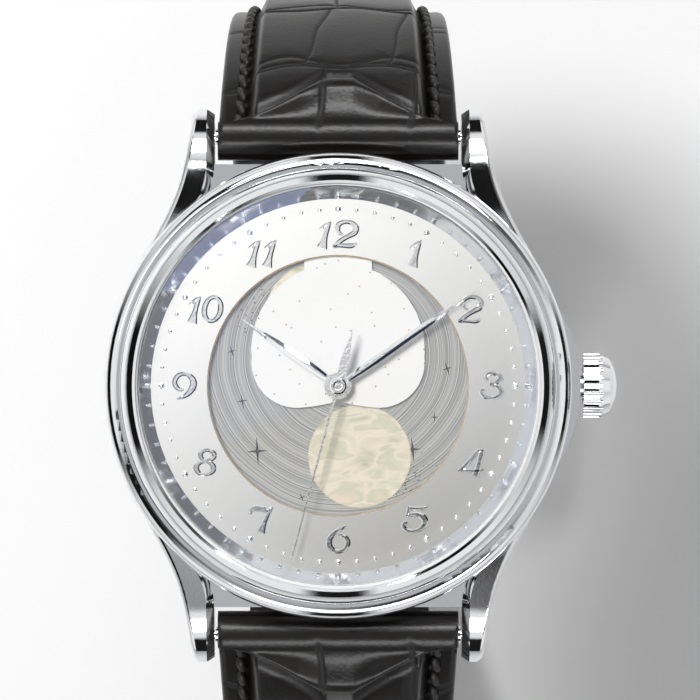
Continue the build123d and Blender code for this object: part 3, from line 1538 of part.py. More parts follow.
with BuildPart() as buckle_tang:
    with BuildSketch(buckle_bar_plane):
        Circle(buckle_eye_radius - running_clearance)
    extrude(amount=tang_eye_width / 2, both=True)
    tang_direction = buckle_plane.y_dir * math.cos(tang_lean) + buckle_plane.z_dir * math.sin(tang_lean)
    with BuildSketch(Plane(origin=(0, *buckle_centre), x_dir=(1, 0, 0), z_dir=tang_direction)):
        Circle(tang_radius)
    extrude(amount=tang_length)
    with BuildSketch(buckle_bar_plane):
        Circle(buckle_bar_radius + running_clearance)
    extrude(amount=tang_eye_width, both=True, mode=Mode.SUBTRACT)
buckle_tang.part.label = "buckle_tang"
export_step(buckle_tang.part, "parts/buckle_tang.step")
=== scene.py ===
"""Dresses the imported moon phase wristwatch: finishes, strap leather, stitching, hour numbers, dots and stars."""

import logging
import math
from dataclasses import dataclass
from enum import Enum

import bpy
import numpy as np
from numpy.typing import NDArray
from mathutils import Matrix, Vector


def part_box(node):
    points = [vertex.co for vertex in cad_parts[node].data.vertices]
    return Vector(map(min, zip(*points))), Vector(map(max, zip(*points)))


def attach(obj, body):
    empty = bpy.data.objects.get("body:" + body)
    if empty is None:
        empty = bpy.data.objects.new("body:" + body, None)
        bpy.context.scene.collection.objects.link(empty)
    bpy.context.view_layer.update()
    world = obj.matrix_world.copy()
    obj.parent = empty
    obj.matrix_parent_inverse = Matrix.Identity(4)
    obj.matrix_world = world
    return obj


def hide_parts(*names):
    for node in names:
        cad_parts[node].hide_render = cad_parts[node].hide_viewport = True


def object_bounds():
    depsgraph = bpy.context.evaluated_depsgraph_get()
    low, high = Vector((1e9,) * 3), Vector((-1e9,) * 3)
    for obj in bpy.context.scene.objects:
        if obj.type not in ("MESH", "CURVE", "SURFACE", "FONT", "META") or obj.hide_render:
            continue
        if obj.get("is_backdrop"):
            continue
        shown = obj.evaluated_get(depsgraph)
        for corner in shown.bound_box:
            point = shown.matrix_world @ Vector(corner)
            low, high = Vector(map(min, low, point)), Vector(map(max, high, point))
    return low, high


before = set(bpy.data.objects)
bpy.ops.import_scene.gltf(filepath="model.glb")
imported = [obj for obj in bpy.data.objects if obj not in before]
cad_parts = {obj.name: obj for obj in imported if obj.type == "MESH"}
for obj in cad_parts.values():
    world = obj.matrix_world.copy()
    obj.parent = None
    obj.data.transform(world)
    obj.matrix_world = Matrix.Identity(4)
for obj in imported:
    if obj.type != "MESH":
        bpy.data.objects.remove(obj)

Array = NDArray[np.float64]
Tree = bpy.types.NodeTree
Node = bpy.types.Node
Socket = bpy.types.NodeSocket
Inputs = dict[str | int, object]
Pair = tuple[float, float]
Triple = tuple[float, float, float]
Colour = tuple[float, float, float, float]
Stops = tuple[tuple[float, str], ...]
Ring = tuple[tuple[float, int], ...]

MM = 0.001
MIX_A, MIX_B = 6, 7  # socket numbers of the Mix node's two colours
HALF_WAVE = math.pi / 20  # a wave texture turns 20 radians in a unit: at this scale, half a wave is a metre long
LOG = logging.getLogger("watch")


def linear(code: str) -> Colour:
    """Turns an sRGB hex colour into linear light.

    Args:
        code: Six hex digits, red first.

    Returns:
        Red, green, blue and a full alpha.
    """
    channels = np.array([int(code[i : i + 2], 16) for i in (0, 2, 4)]) / 255
    curved = np.where(channels <= 0.04045, channels / 12.92, ((channels + 0.055) / 1.055) ** 2.4)
    return (*curved.tolist(), 1.0)


def node(tree: Tree, kind: str, inputs: Inputs | None = None, stops: Stops = (), **settings: object) -> Node:
    """Adds one shader node with its settings, values and links.

    Args:
        tree: The node tree.
        kind: The node's type without its ShaderNode prefix.
        inputs: Socket names or numbers, each with a value, an output, or a node whose first live output feeds it.
        stops: Places on a colour ramp, each with an sRGB hex colour.
        settings: Properties of the node itself.

    Returns:
        The new node.
    """
    made = tree.nodes.new("ShaderNode" + kind)
    for name, value in settings.items():
        setattr(made, name, value)
    for place, _ in stops[2:]:
        made.color_ramp.elements.new(place)
    for element, (place, code) in zip(made.color_ramp.elements if stops else (), stops):
        element.position, element.color = place, linear(code)
    for socket, value in (inputs or {}).items():
        if isinstance(value, Node):
            value = next(output for output in value.outputs if output.enabled)
        if isinstance(value, Socket):
            tree.links.new(value, made.inputs[socket])
        else:
            made.inputs[socket].default_value = value
    return made


@dataclass(frozen=True)
class Finish:
    """A finish of one colour with a fine bump; the other finishes put their own pattern in its place."""

    name: str
    colour: str
    metallic: float = 0.0
    roughness: float = 0.4
    grain_mm: float = 0.3
    grain_height_mm: float = 0.002

    def material(self) -> bpy.types.Material:
        """Builds the material: the finish's own values, then what its pattern feeds."""
        made = bpy.data.materials.new(self.name)
        made.use_nodes = True
        tree = made.node_tree
        tree.nodes.clear()
        inputs = {"Base Color": linear(self.colour), "Metallic": self.metallic, "Roughness": self.roughness}
        inputs |= self.pattern(tree, node(tree, "TexCoord").outputs["Object"])
        if relief := inputs.pop("Relief", None):
            height, deepest_mm = relief
            inputs["Normal"] = node(tree, "Bump", {"Height": height, "Distance": deepest_mm * MM, "Strength": 1.0})
        shader = node(tree, "BsdfPrincipled", inputs)
        node(tree, "OutputMaterial", {"Surface": self.surface(tree, shader)})
        return made

    def pattern(self, tree: Tree, place: Socket) -> Inputs:
        """Builds the finish's pattern: here, a fine grain.

        Args:
            tree: The material's node tree.
            place: Object coordinates, in metres.

        Returns:
            What feeds each input of the shader, and as Relief a height with how many millimetres it spans.
        """
        grain = node(tree, "TexNoise", {"Vector": place, "Scale": 1 / (self.grain_mm * MM), "Detail": 2.0})
        return {"Relief": (grain, self.grain_height_mm)}

    def surface(self, tree: Tree, shader: Node) -> Node:
        """What the material puts out: here, the shader as it is."""
        return shader


@dataclass(frozen=True)
class PolishedSteel(Finish):
    """Stainless steel polished to a mirror: soft patches of slightly duller polish break up its reflections."""

    patch_mm: float = 3.0
    dulling: float = 0.03

    def pattern(self, tree: Tree, place: Socket) -> Inputs:
        """Raises the roughness a little in patches, over the fine grain."""
        patches = node(tree, "TexNoise", {"Vector": place, "Scale": 1 / (self.patch_mm * MM), "Detail": 4.0})
        limits = {"To Min": self.roughness, "To Max": self.roughness + self.dulling}
        return super().pattern(tree, place) | {"Roughness": node(tree, "MapRange", {"Value": patches} | limits)}


@dataclass(frozen=True)
class TurnedMetal(Finish):
    """Metal with fine grooves cut in circles round the movement's middle."""

    groove_mm: float = 0.3
    depth_mm: float = 0.004
    dark: str = "8c8d90"

    def pattern(self, tree: Tree, place: Socket) -> Inputs:
        """Adds rings whose spacing wanders, as light lines on a darker ground."""
        size = {"Scale": HALF_WAVE / (self.groove_mm * MM)}
        wander = {"Distortion": 1.5, "Detail": 2.0, "Detail Scale": 0.4}
        wave = node(tree, "TexWave", {"Vector": place} | size | wander, wave_type="RINGS", rings_direction="Z")
        rings = wave.outputs["Fac"]
        colour = node(tree, "ValToRGB", {"Fac": rings}, ((0.0, self.dark), (1.0, self.colour)))
        return {"Base Color": colour, "Relief": (rings, self.depth_mm)}


@dataclass(frozen=True)
class EngravedSky(Finish):
    """Silver engraved by hand: fine bright cuts, drawn coarser than the real ones so that they show."""

    line_mm: float = 0.1
    line_height_mm: float = 0.01
    broad_mm: float = 0.7
    fine_share: float = 0.88
    bend_mm: float = 9.0
    bend_depth_mm: float = 0.35
    centre_mm: Pair = (0.8, 2.6)
    dark: str = "8b8b8a"
    middle: str = "b2b2b1"

    def pattern(self, tree: Tree, place: Socket) -> Inputs:
        """Draws noise out along bent circles: the distance from their centre alone drives a one-way noise."""
        bend = node(tree, "TexNoise", {"Vector": place, "Scale": 1 / (self.bend_mm * MM), "Detail": 1.0})
        most = self.bend_depth_mm * MM
        shift = node(tree, "MapRange", {"Value": bend, "To Min": -most, "To Max": most})
        parts = node(tree, "SeparateXYZ", {"Vector": place})
        across, upward = (
            node(tree, "Math", {0: parts.outputs[axis], 1: middle * MM}, operation="SUBTRACT")
            for axis, middle in zip("XY", self.centre_mm)
        )
        level = node(tree, "CombineXYZ", {"X": across, "Y": upward})
        reach = node(tree, "VectorMath", {0: level}, operation="LENGTH")
        radius = node(tree, "Math", {0: reach, 1: shift}, operation="ADD")
        fine_look = {"Scale": 1 / (self.line_mm * MM), "Detail": 2.0, "Roughness": 0.7}
        fine = node(tree, "TexNoise", {"W": radius} | fine_look, noise_dimensions="1D")
        broad_look = {"Scale": 1 / (self.broad_mm * MM), "Detail": 1.0}
        broad = node(tree, "TexNoise", {"W": radius} | broad_look, noise_dimensions="1D")
        faint = node(tree, "Math", {0: broad, 1: 1 - self.fine_share}, operation="MULTIPLY")
        both = node(tree, "Math", {0: fine, 1: self.fine_share, 2: faint}, operation="MULTIPLY_ADD")
        stops = ((0.36, self.dark), (0.5, self.middle), (0.64, self.colour))
        colour = node(tree, "ValToRGB", {"Fac": both}, stops)
        return {"Base Color": colour, "Relief": (fine, self.line_height_mm)}


@dataclass(frozen=True)
class SkyWhite(Finish):
    """White satin lacquer with scattered grey and gilt specks."""

    cell_mm: float = 2.1
    speck_mm: float = 0.075
    specks: Stops = ((0.0, "a9aaa8"), (0.55, "8d8f90"), (0.8, "c99a4c"))

    def pattern(self, tree: Tree, place: Socket) -> Inputs:
        """Adds one round speck near the middle of each cell of a cell pattern, over the fine grain."""
        layout = {"Vector": place, "Scale": 1 / (self.cell_mm * MM), "Randomness": 1.0}
        cells = node(tree, "TexVoronoi", layout, voronoi_dimensions="2D")
        near = node(tree, "Math", {0: cells, 1: self.speck_mm / self.cell_mm}, operation="LESS_THAN")
        chance = node(tree, "SeparateColor", {"Color": cells.outputs["Color"]})
        tint = node(tree, "ValToRGB", {"Fac": chance}, self.specks)
        colours = {MIX_A: linear(self.colour), MIX_B: tint}
        mixed = node(tree, "Mix", {"Factor": near} | colours, data_type="RGBA")
        return super().pattern(tree, place) | {"Base Color": mixed}


@dataclass(frozen=True)
class PearlShell(Finish):
    """Polished mother of pearl: cream clouds drawn out in bands, with a faint green and pink play of colour."""

    band_mm: Pair = (3.4, 1.5)
    band_turn_deg: float = -8.0
    band_height_mm: float = 0.004
    clouds: Stops = ((0.3, "b7b39f"), (0.42, "d0cbb9"), (0.52, "e2d9c9"), (0.6, "cac8b4"), (0.72, "dfd0c0"))

    def pattern(self, tree: Tree, place: Socket) -> Inputs:
        """Colours a stretched noise, and lays the gloss of the polish over it."""
        turn = (0.0, 0.0, math.radians(self.band_turn_deg))
        scale = (1 / (self.band_mm[0] * MM), 1 / (self.band_mm[1] * MM), 1 / MM)
        stretched = node(tree, "Mapping", {"Vector": place, "Rotation": turn, "Scale": scale})
        noise = node(tree, "TexNoise", {"Vector": stretched, "Scale": 1.0, "Detail": 5.0, "Distortion": 0.6})
        return {
            "Base Color": node(tree, "ValToRGB", {"Fac": noise}, self.clouds),
            "Coat Weight": 0.6,
            "Coat Roughness": 0.05,
            "Relief": (noise, self.band_height_mm),
        }


@dataclass(frozen=True)
class Sapphire(Finish):
    """Clear sapphire with a faint blue coat; its IOR is set lower than sapphire's, as the coat takes off glare."""

    ior: float = 1.5
    coat: str = "93a9ee"

    def pattern(self, tree: Tree, place: Socket) -> Inputs:
        """Makes the shader clear, with a tinted reflection; polished glass has no grain."""
        return {"Transmission Weight": 1.0, "IOR": self.ior, "Specular Tint": linear(self.coat)}

    def surface(self, tree: Tree, shader: Node) -> Node:
        """Shows the glass to the camera and to rays inside it, and nothing to all others.

        Light that the dial gathers so passes straight through, and no lamp is counted twice.
        """
        path = node(tree, "LightPath").outputs
        seen = node(tree, "Math", {0: path["Is Camera Ray"], 1: path["Is Transmission Ray"]}, operation="MAXIMUM")
        return node(tree, "MixShader", {0: seen, 1: node(tree, "BsdfTransparent"), 2: shader})


@dataclass(frozen=True)
class FloorPaper(Finish):
    """White paper that fades into the white room around it, and doesn't hide the watch from a look from below."""

    fade: Pair = (0.14, 0.34)

    def surface(self, tree: Tree, shader: Node) -> Node:
        """Makes the paper's underside clear, and for the camera the part far from the watch too."""
        back = node(tree, "NewGeometry").outputs["Backfacing"]
        reach = node(tree, "VectorMath", {0: node(tree, "TexCoord").outputs["Object"]}, operation="LENGTH")
        far = node(tree, "MapRange", {"Value": reach, "From Min": self.fade[0], "From Max": self.fade[1]})
        camera = node(tree, "LightPath").outputs["Is Camera Ray"]
        seen = node(tree, "Math", {0: camera, 1: far}, operation="MULTIPLY")
        share = node(tree, "Math", {0: back, 1: seen}, operation="MAXIMUM")
        return node(tree, "MixShader", {0: share, 1: shader, 2: node(tree, "BsdfTransparent")})


@dataclass(frozen=True)
class Ruby(Finish):
    """Synthetic ruby, polished and partly clear."""

    clear: float = 0.6
    ior: float = 1.77

    def pattern(self, tree: Tree, place: Socket) -> Inputs:
        """Lets light into the stone, over the fine grain."""
        return super().pattern(tree, place) | {"Transmission Weight": self.clear, "IOR": self.ior}


@dataclass(frozen=True)
class Leather(Finish):
    """Glazed alligator leather: fine pores on glossy scales, and dull creases between them, with shade painted dark
    into the creases and the fold.
    """

    # painted shade: the dark colour laid into the creases and the fold
    crease_colour: str = "070605"
    light_colour: str = "14110f"
    crease_roughness: float = 0.6
    cloud_mm: float = 3.0
    pore_mm: float = 0.3
    swell_mm: float = 1.2
    relief_mm: float = 0.012
    gloss: float = 0.35

    def pattern(self, tree: Tree, place: Socket) -> Inputs:
        """Paints shade dark into the creases and the fold by the mesh's own crease attribute, dulls them, and adds
        pores and soft swells.
        """
        crease = node(tree, "Attribute", attribute_name="crease").outputs["Fac"]
        clouds = node(tree, "TexNoise", {"Vector": place, "Scale": 1 / (self.cloud_mm * MM), "Detail": 3.0})
        shade = node(tree, "ValToRGB", {"Fac": clouds}, ((0.3, self.colour), (0.7, self.light_colour)))
        colours = {MIX_A: shade, MIX_B: linear(self.crease_colour)}
        pores = node(tree, "TexVoronoi", {"Vector": place, "Scale": 1 / (self.pore_mm * MM)}, feature="SMOOTH_F1")
        swells = node(tree, "TexNoise", {"Vector": place, "Scale": 1 / (self.swell_mm * MM), "Detail": 4.0})
        height = node(tree, "Math", {0: pores, 1: swells}, operation="ADD")
        dull = {"Value": crease, "To Min": self.roughness, "To Max": self.crease_roughness}
        return {
            # painted shade: the crease attribute mixes the dark crease colour into the base colour
            "Base Color": node(tree, "Mix", {"Factor": crease} | colours, data_type="RGBA"),
            "Roughness": node(tree, "MapRange", dull),
            "Specular IOR Level": self.gloss,
            "Relief": (height, self.relief_mm),
        }


@dataclass(frozen=True)
class Thread(Finish):
    """Waxed linen thread: two plies twisted together."""

    ply_mm: float = 0.35
    ply_height_mm: float = 0.05
    slant: Triple = (0.4, 0.6, 0.8)

    def pattern(self, tree: Tree, place: Socket) -> Inputs:
        """Adds slanted ridges across the thread."""
        turned = node(tree, "Mapping", {"Vector": place, "Rotation": self.slant})
        size = {"Scale": HALF_WAVE / (self.ply_mm * MM), "Distortion": 1.0}
        plies = node(tree, "TexWave", {"Vector": turned} | size).outputs["Fac"]
        return {"Relief": (plies, self.ply_height_mm)}


class Look(Enum):
    """Every finish on the watch, by what the real piece is made of."""

    CASE_STEEL = PolishedSteel("polished_stainless_steel", "e9eaec", 1.0, 0.05)
    HAND_STEEL = PolishedSteel("diamond_cut_steel_hands", "f2f2f3", 1.0, 0.06)
    NUMBER_STEEL = PolishedSteel("polished_applied_steel", "dcdde0", 1.0, 0.06)
    FLANGE_STEEL = PolishedSteel("satin_finished_steel", "d2d4d8", 1.0, 0.16)
    TUBE_STEEL = Finish("turned_steel", "b9bbbf", 1.0, 0.25)
    CRYSTAL = Sapphire("coated_sapphire", "ffffff", 0.0, 0.0)
    DIAL = Finish("frosted_silver_dial", "fafafa", 0.75, 0.08, 0.08, 0.0005)
    SKY = SkyWhite("white_satin_lacquer", "e6e6e6", 0.0, 0.45)
    MOON_DISC = EngravedSky("engraved_silver", "d8d8d7", 0.5, 0.32)
    # the raised stars and star dust are coloured dark grey
    STAR = Finish("dark_grey_star_marks", "4c4d50", 0.3, 0.5)
    PEARL = PearlShell("polished_mother_of_pearl", "ece8d4", 0.0, 0.25)
    PLATE = TurnedMetal("grained_nickel_plate", "cfcfcd", 1.0, 0.3, groove_mm=0.6, dark="b4b4b2")
    GILT = TurnedMetal("gilt_brass", "d9b25f", 1.0, 0.25, groove_mm=0.25, dark="b98f40")
    TOOL_STEEL = Finish("hardened_steel", "a7a9ad", 1.0, 0.22)
    BLUED = Finish("heat_blued_steel", "24346e", 1.0, 0.25)
    RUBY = Ruby("synthetic_ruby", "b30f2a", 0.0, 0.05)
    ROTOR = TurnedMetal("striped_rotor_weight", "c9c9c8", 1.0, 0.28, groove_mm=1.4, depth_mm=0.01, dark="a9a9a8")
    HOLDER = Finish("moulded_holder_plastic", "c9c9c6", 0.0, 0.5)
    SEAL = Finish("moulded_nitrile_rubber", "141414", 0.0, 0.6)
    NYLON = Finish("moulded_natural_nylon", "d9dadb", 0.0, 0.35)
    LEATHER = Leather("glazed_alligator_leather", "0c0a09", 0.0, 0.3)
    THREAD = Thread("waxed_linen_thread", "16120f", 0.0, 0.5)


NODE_LOOKS: dict[Look, str] = {
    Look.CASE_STEEL: "case_middle bezel case_back crown spring_bars buckle_frame buckle_bar buckle_tang",
    Look.HAND_STEEL: "hour_hand minute_hand seconds_hand",
    Look.FLANGE_STEEL: "inner_flange",
    Look.TUBE_STEEL: "crown_tube rotor_post",
    Look.CRYSTAL: "crystal back_glass",
    Look.DIAL: "dial",
    Look.SKY: "sky_plate",
    Look.MOON_DISC: "moon_disc",
    Look.PEARL: "moon_inlays",
    Look.PLATE: "main_plate barrel_bridge train_bridge balance_cock pallet_bridge moon_plate",
    Look.GILT: (
        "barrel barrel_cover centre_wheel third_wheel fourth_wheel "
        "escape_wheel minute_wheel hour_wheel cannon_pinion balance_wheel"
    ),
    Look.TOOL_STEEL: "bridge_screws barrel_arbor pallet_fork winding_stem setting_lever mainspring",
    Look.BLUED: "hairspring",
    Look.RUBY: "jewels",
    Look.ROTOR: "rotor",
    Look.HOLDER: "movement_ring",
    Look.SEAL: "back_seal crown_seal",
    Look.NYLON: "crystal_gasket",
    Look.LEATHER: "strap_short strap_long fixed_keeper sliding_keeper",
}
MATERIALS: dict[Look, bpy.types.Material] = {}


def material(look: Look) -> bpy.types.Material:
    """The material of a finish, built when it is first asked for."""
    if look not in MATERIALS:
        MATERIALS[look] = look.value.material()
    return MATERIALS[look]


def part(value: Array, whole: Array | float) -> Array:
    """A value as a part of a whole, held between 0 and 1."""
    return np.clip(value / whole, 0, 1)


def smooth(share: Array) -> Array:
    """A smooth step from 0 to 1: three times the share squared, less twice the share cubed."""
    return share * share * (3 - 2 * share)


def bell(distance: Array) -> Array:
    """A bell curve, 1 high: e to the power of minus the distance squared."""
    return np.exp(-(distance**2))


def roundel(share: Array) -> Array:
    """Height of a quarter circle at a share of its radius: the square root of one less the share squared."""
    return np.sqrt(np.clip(1 - share**2, 0, 1))


def circle(count: int) -> Array:
    """Evenly spaced angles round a circle, in radians."""
    return np.linspace(0, 2 * math.pi, count, endpoint=False)


def grid_faces(rows: int, columns: int, wrap_rows: bool = False) -> NDArray[np.int64]:
    """Quads of a grid of points, numbered row by row, whose rows each close on themselves.

    Args:
        rows: Number of rows of points.
        columns: Number of points in a row.
        wrap_rows: Whether the last row joins the first.

    Returns:
        One row of four point numbers for each quad.
    """
    row = np.arange(rows if wrap_rows else rows - 1)[:, None]
    column = np.arange(columns)[None, :]
    after, beside = (row + 1) % rows, (column + 1) % columns
    corners = (row * columns + column, row * columns + beside, after * columns + beside, after * columns + column)
    return np.stack(corners, axis=-1).reshape(-1, 4)


def tube_faces(rows: int, columns: int, first: int = 0) -> list[list[int]]:
    """Faces of a closed tube: the quads of its grid, numbered from first, and a cap at each end."""
    caps = (range(columns - 1, -1, -1), range((rows - 1) * columns, rows * columns))
    return (grid_faces(rows, columns) + first).tolist() + [[first + i for i in cap] for cap in caps]


def lathe(radius: Array | float, level: Array | float, turn: Array) -> Array:
    """Points round the Z axis at a radius and a level, one for each angle."""
    return np.stack((radius * np.cos(turn), radius * np.sin(turn), level + 0 * turn), axis=-1)


def link(name: str, data: bpy.types.ID) -> bpy.types.Object:
    """Adds an object with its data to the scene."""
    made = bpy.data.objects.new(name, data)
    bpy.context.scene.collection.objects.link(made)
    return made


def piece(
    name: str, points: Array, faces: list | Array, look: Look, body: str, smooth_deg: float
) -> bpy.types.Object:
    """Makes an object of points in millimetres, dresses it and lets it ride.

    Args:
        name: The object's name.
        points: Points in the frame of the CAD, in millimetres.
        faces: Point numbers of each face, outwards.
        look: Its finish.
        body: The body it rides on.
        smooth_deg: Faces that meet at less than this angle are shaded smooth.

    Returns:
        The new object.
    """
    mesh = bpy.data.meshes.new(name)
    listed = faces if isinstance(faces, list) else faces.tolist()
    mesh.from_pydata((points.reshape(-1, 3) * MM).tolist(), [], listed)
    mesh.validate()
    mesh.update()
    mesh.shade_smooth()
    mesh.set_sharp_from_angle(angle=math.radians(smooth_deg))
    made = link(name, mesh)
    mesh.materials.append(material(look))
    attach(made, body)
    LOG.info("%s: %d faces", name, len(listed))
    return made


def copies(points: Array, faces: Array, places: Array, turns: Array, sizes: Array) -> tuple[Array, Array]:
    """Repeats a small shape: each copy is scaled, turned about Z and moved to its place.

    Args:
        points: The shape's points, (n, 3).
        faces: The shape's faces, (m, k).
        places: Where each copy goes, (c, 3).
        turns: Each copy's angle in radians, (c,).
        sizes: Each copy's scale, (c,).

    Returns:
        All points and all faces.
    """
    cosines, sines = np.cos(turns)[:, None], np.sin(turns)[:, None]
    x = (points[None, :, 0] * cosines - points[None, :, 1] * sines) * sizes[:, None]
    y = (points[None, :, 0] * sines + points[None, :, 1] * cosines) * sizes[:, None]
    z = points[None, :, 2] * sizes[:, None]
    every = np.stack((x, y, z), axis=-1) + places[:, None, :]
    shift = (np.arange(len(places)) * len(points))[:, None, None]
    return every.reshape(-1, 3), (faces[None] + shift).reshape(-1, faces.shape[1])


def top_of(name: str) -> float:
    """Height of a CAD node's highest point, in millimetres."""
    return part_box(name)[1].z / MM


def clock(hours: Array | float, radius: Array | float) -> Array:
    """Points on a circle at clock hours: X is the radius times the sine, Y the radius times the cosine."""
    angle = np.radians(hours * 30)
    return np.stack((radius * np.sin(angle), radius * np.cos(angle)), axis=-1)


Stroke = list[Triple]

# Each stroke of a number by place and width, in hundredths of its height
STROKES: dict[str, list[Stroke]] = {
    "0": [[(38 + 30 * math.cos(a) + 5 * math.sin(a), 50 + 44 * math.sin(a), 13 + 6 * math.cos(a) ** 2)
           for a in np.linspace(0, 2 * math.pi, 25)]],
    "1": [
        [(53, 98, 3), (44, 83, 14), (39, 70, 17), (34.5, 52, 16), (29, 32, 20), (24, 13, 29), (20, 0, 38)],
        [(51, 95, 3), (38, 87, 10), (24, 77, 10), (11, 66, 7)],
    ],
    "2": [
        [(39, 47, 4), (24, 57, 13), (19, 73, 18), (27, 89, 17), (52, 96, 13), (76, 89, 17), (87, 72, 21),
         (81, 55, 20), (60, 43, 16), (34, 28, 16), (11, 8, 16), (3, 0, 5)],
        [(3, 3, 5), (19, 8, 12), (42, 7.5, 14), (64, 6.5, 17), (80, 10, 12), (90, 17, 3)],
    ],
    "3": [
        [(29, 71, 9), (24, 82, 10), (36, 94, 10), (56, 96, 12), (75, 87, 18), (78, 76, 20), (62, 63, 17),
         (40, 56, 5)],
        [(40, 56.5, 5), (62, 50, 14), (76, 39, 20), (80, 26, 20), (66, 11, 14), (42, 5, 11), (19, 11, 12),
         (7, 25, 13), (12, 36, 12), (19, 35, 5)],
    ],
    "4": [
        [(97, 98, 4), (78, 92, 13), (53, 66, 12), (30, 40, 15), (5, 19, 6)],
        [(2, 19, 5), (30, 21, 10), (60, 20, 11), (86, 21, 11), (100, 26, 4)],
        [(95, 97, 12), (90, 80, 20), (82, 50, 19), (74, 20, 20), (66, 2, 24)],
    ],
    "5": [
        [(98, 98, 3), (86, 90, 11), (60, 88, 13), (30, 90, 10)],
        [(28, 96, 10), (26, 80, 13), (20, 62, 10)],
        [(18, 60, 6), (36, 66, 12), (60, 66, 16), (82, 54, 22), (88, 36, 22), (74, 15, 17), (46, 4, 12), (19, 9, 14),
         (8, 23, 14), (14, 36, 12), (22, 33, 4)],
    ],
    "6": [
        [(76, 98, 4), (60, 91, 11), (36, 76, 16), (17, 54, 20), (14, 31, 21), (29, 10, 16), (50, 5, 13), (73, 15, 17),
         (83, 37, 19), (75, 56, 16), (60, 64, 9), (50, 65, 3)],
    ],
    "7": [
        [(6, 64, 4), (8, 80, 12), (20, 89, 20), (44, 88, 20), (66, 80, 12), (78, 82, 5)],
        [(88, 95, 4), (77, 79, 13), (63, 52, 14), (52, 25, 20), (44, 0, 30)],
    ],
    "8": [
        [(49 + 26 * math.cos(a), 77 + 19 * math.sin(a), 10 + 6 * math.cos(a) ** 2)
         for a in np.linspace(0, 2 * math.pi, 21)],
        [(40 + 32 * math.cos(a), 30 + 24 * math.sin(a), 11 + 7 * math.cos(a) ** 2)
         for a in np.linspace(0, 2 * math.pi, 21)],
    ],
    "9": [
        [(41, 38, 5), (28, 36, 12), (13, 47, 16), (8, 66, 17), (19, 86, 16), (42, 95, 12), (64, 86, 17), (77, 66, 23),
         (74, 44, 24), (58, 22, 18), (38, 9, 11), (15, 2, 3)],
    ],
}


@dataclass
class HourNumbers:
    """Twelve applied hour numbers: each stroke is a low polished bar with sloping sides."""

    height: float = 2.4
    relief: float = 0.16
    sunk: float = 0.01
    shoulder: float = 0.55
    slope: float = 0.11
    slope_limit: float = 0.55
    weight: float = 0.02
    least_width: float = 0.02
    steps: int = 6
    digit_width: float = 0.85
    advance: float = 0.78
    advance_after_one: float = 0.75
    radius: float = 13.6
    twelve_radius: float = 13.45

    def line(self, stroke: Stroke) -> Array:
        """Points along a stroke, through its given points on a smooth curve (Catmull-Rom).

        Args:
            stroke: Place and width at each point, in hundredths of the number's height.

        Returns:
            Rows of X, Y and width, in parts of the number's height.
        """
        given = np.array(stroke) / 100
        padded = np.vstack((2 * given[0] - given[1], given, 2 * given[-1] - given[-2]))
        share = np.linspace(0, 1, self.steps, endpoint=False)[None, :, None]
        p0, p1, p2, p3 = (padded[i : len(given) - 1 + i][:, None, :] for i in range(4))
        square, cube = 2 * p0 - 5 * p1 + 4 * p2 - p3, 3 * p1 - p0 - 3 * p2 + p3
        curve = (2 * p1 + (p2 - p0) * share + square * share**2 + cube * share**3) / 2
        return np.vstack((curve.reshape(-1, 3), given[-1:]))

    def bar(self, stroke: Stroke, left: float) -> Array:
        """Section points along a stroke: foot, shoulder, crown edge, crown edge, shoulder, foot.

        Args:
            stroke: The stroke.
            left: Where the number starts, in parts of its height.

        Returns:
            Grid of points, in parts of the number's height; the third value is millimetres.
        """
        run = self.line(stroke)
        way = np.gradient(run[:, :2], axis=0)
        way /= np.maximum(np.linalg.norm(way, axis=1, keepdims=True), 1e-9)
        across = np.stack((-way[:, 1], way[:, 0]), axis=1)
        half = (np.maximum(run[:, 2], self.least_width) + self.weight) / 2
        slope = np.minimum(self.slope / self.height, half * self.slope_limit)
        sides = np.stack((half, half, half - slope, slope - half, -half, -half), axis=1)
        rise = np.array([0.0, self.shoulder, 1.0, 1.0, self.shoulder, 0.0]) * self.relief
        flat = run[:, None, :2] + across[:, None, :] * sides[:, :, None] + np.array([left, 0.0])
        return np.concatenate((flat, np.broadcast_to(rise[None, :, None], (*flat.shape[:2], 1))), axis=2)

    def build(self) -> None:
        """Builds each number as one piece on the dial."""
        for hour in range(1, 13):
            digits = str(hour)
            points, faces, count = [], [], 0
            width = self.advance * (len(digits) - 1) + self.digit_width
            step = self.advance * (self.advance_after_one if digits[0] == "1" else 1)
            for place, digit in enumerate(digits):
                for stroke in STROKES[digit]:
                    grid = self.bar(stroke, place * step - width / 2)
                    rows, columns = grid.shape[:2]
                    faces += tube_faces(rows, columns, count)
                    points.append(grid.reshape(-1, 3))
                    count += rows * columns
            every = np.vstack(points)
            middle = np.array([(every[:, 0].min() + every[:, 0].max()) / 2, 0.5])
            centre = clock(hour, self.twelve_radius if hour == 12 else self.radius)
            level = top_of("dial") - self.sunk + every[:, 2]
            placed = np.column_stack((centre + (every[:, :2] - middle) * self.height, level))
            piece(f"hour_number_{hour:02d}", placed, faces, Look.NUMBER_STEEL, "root", 25)


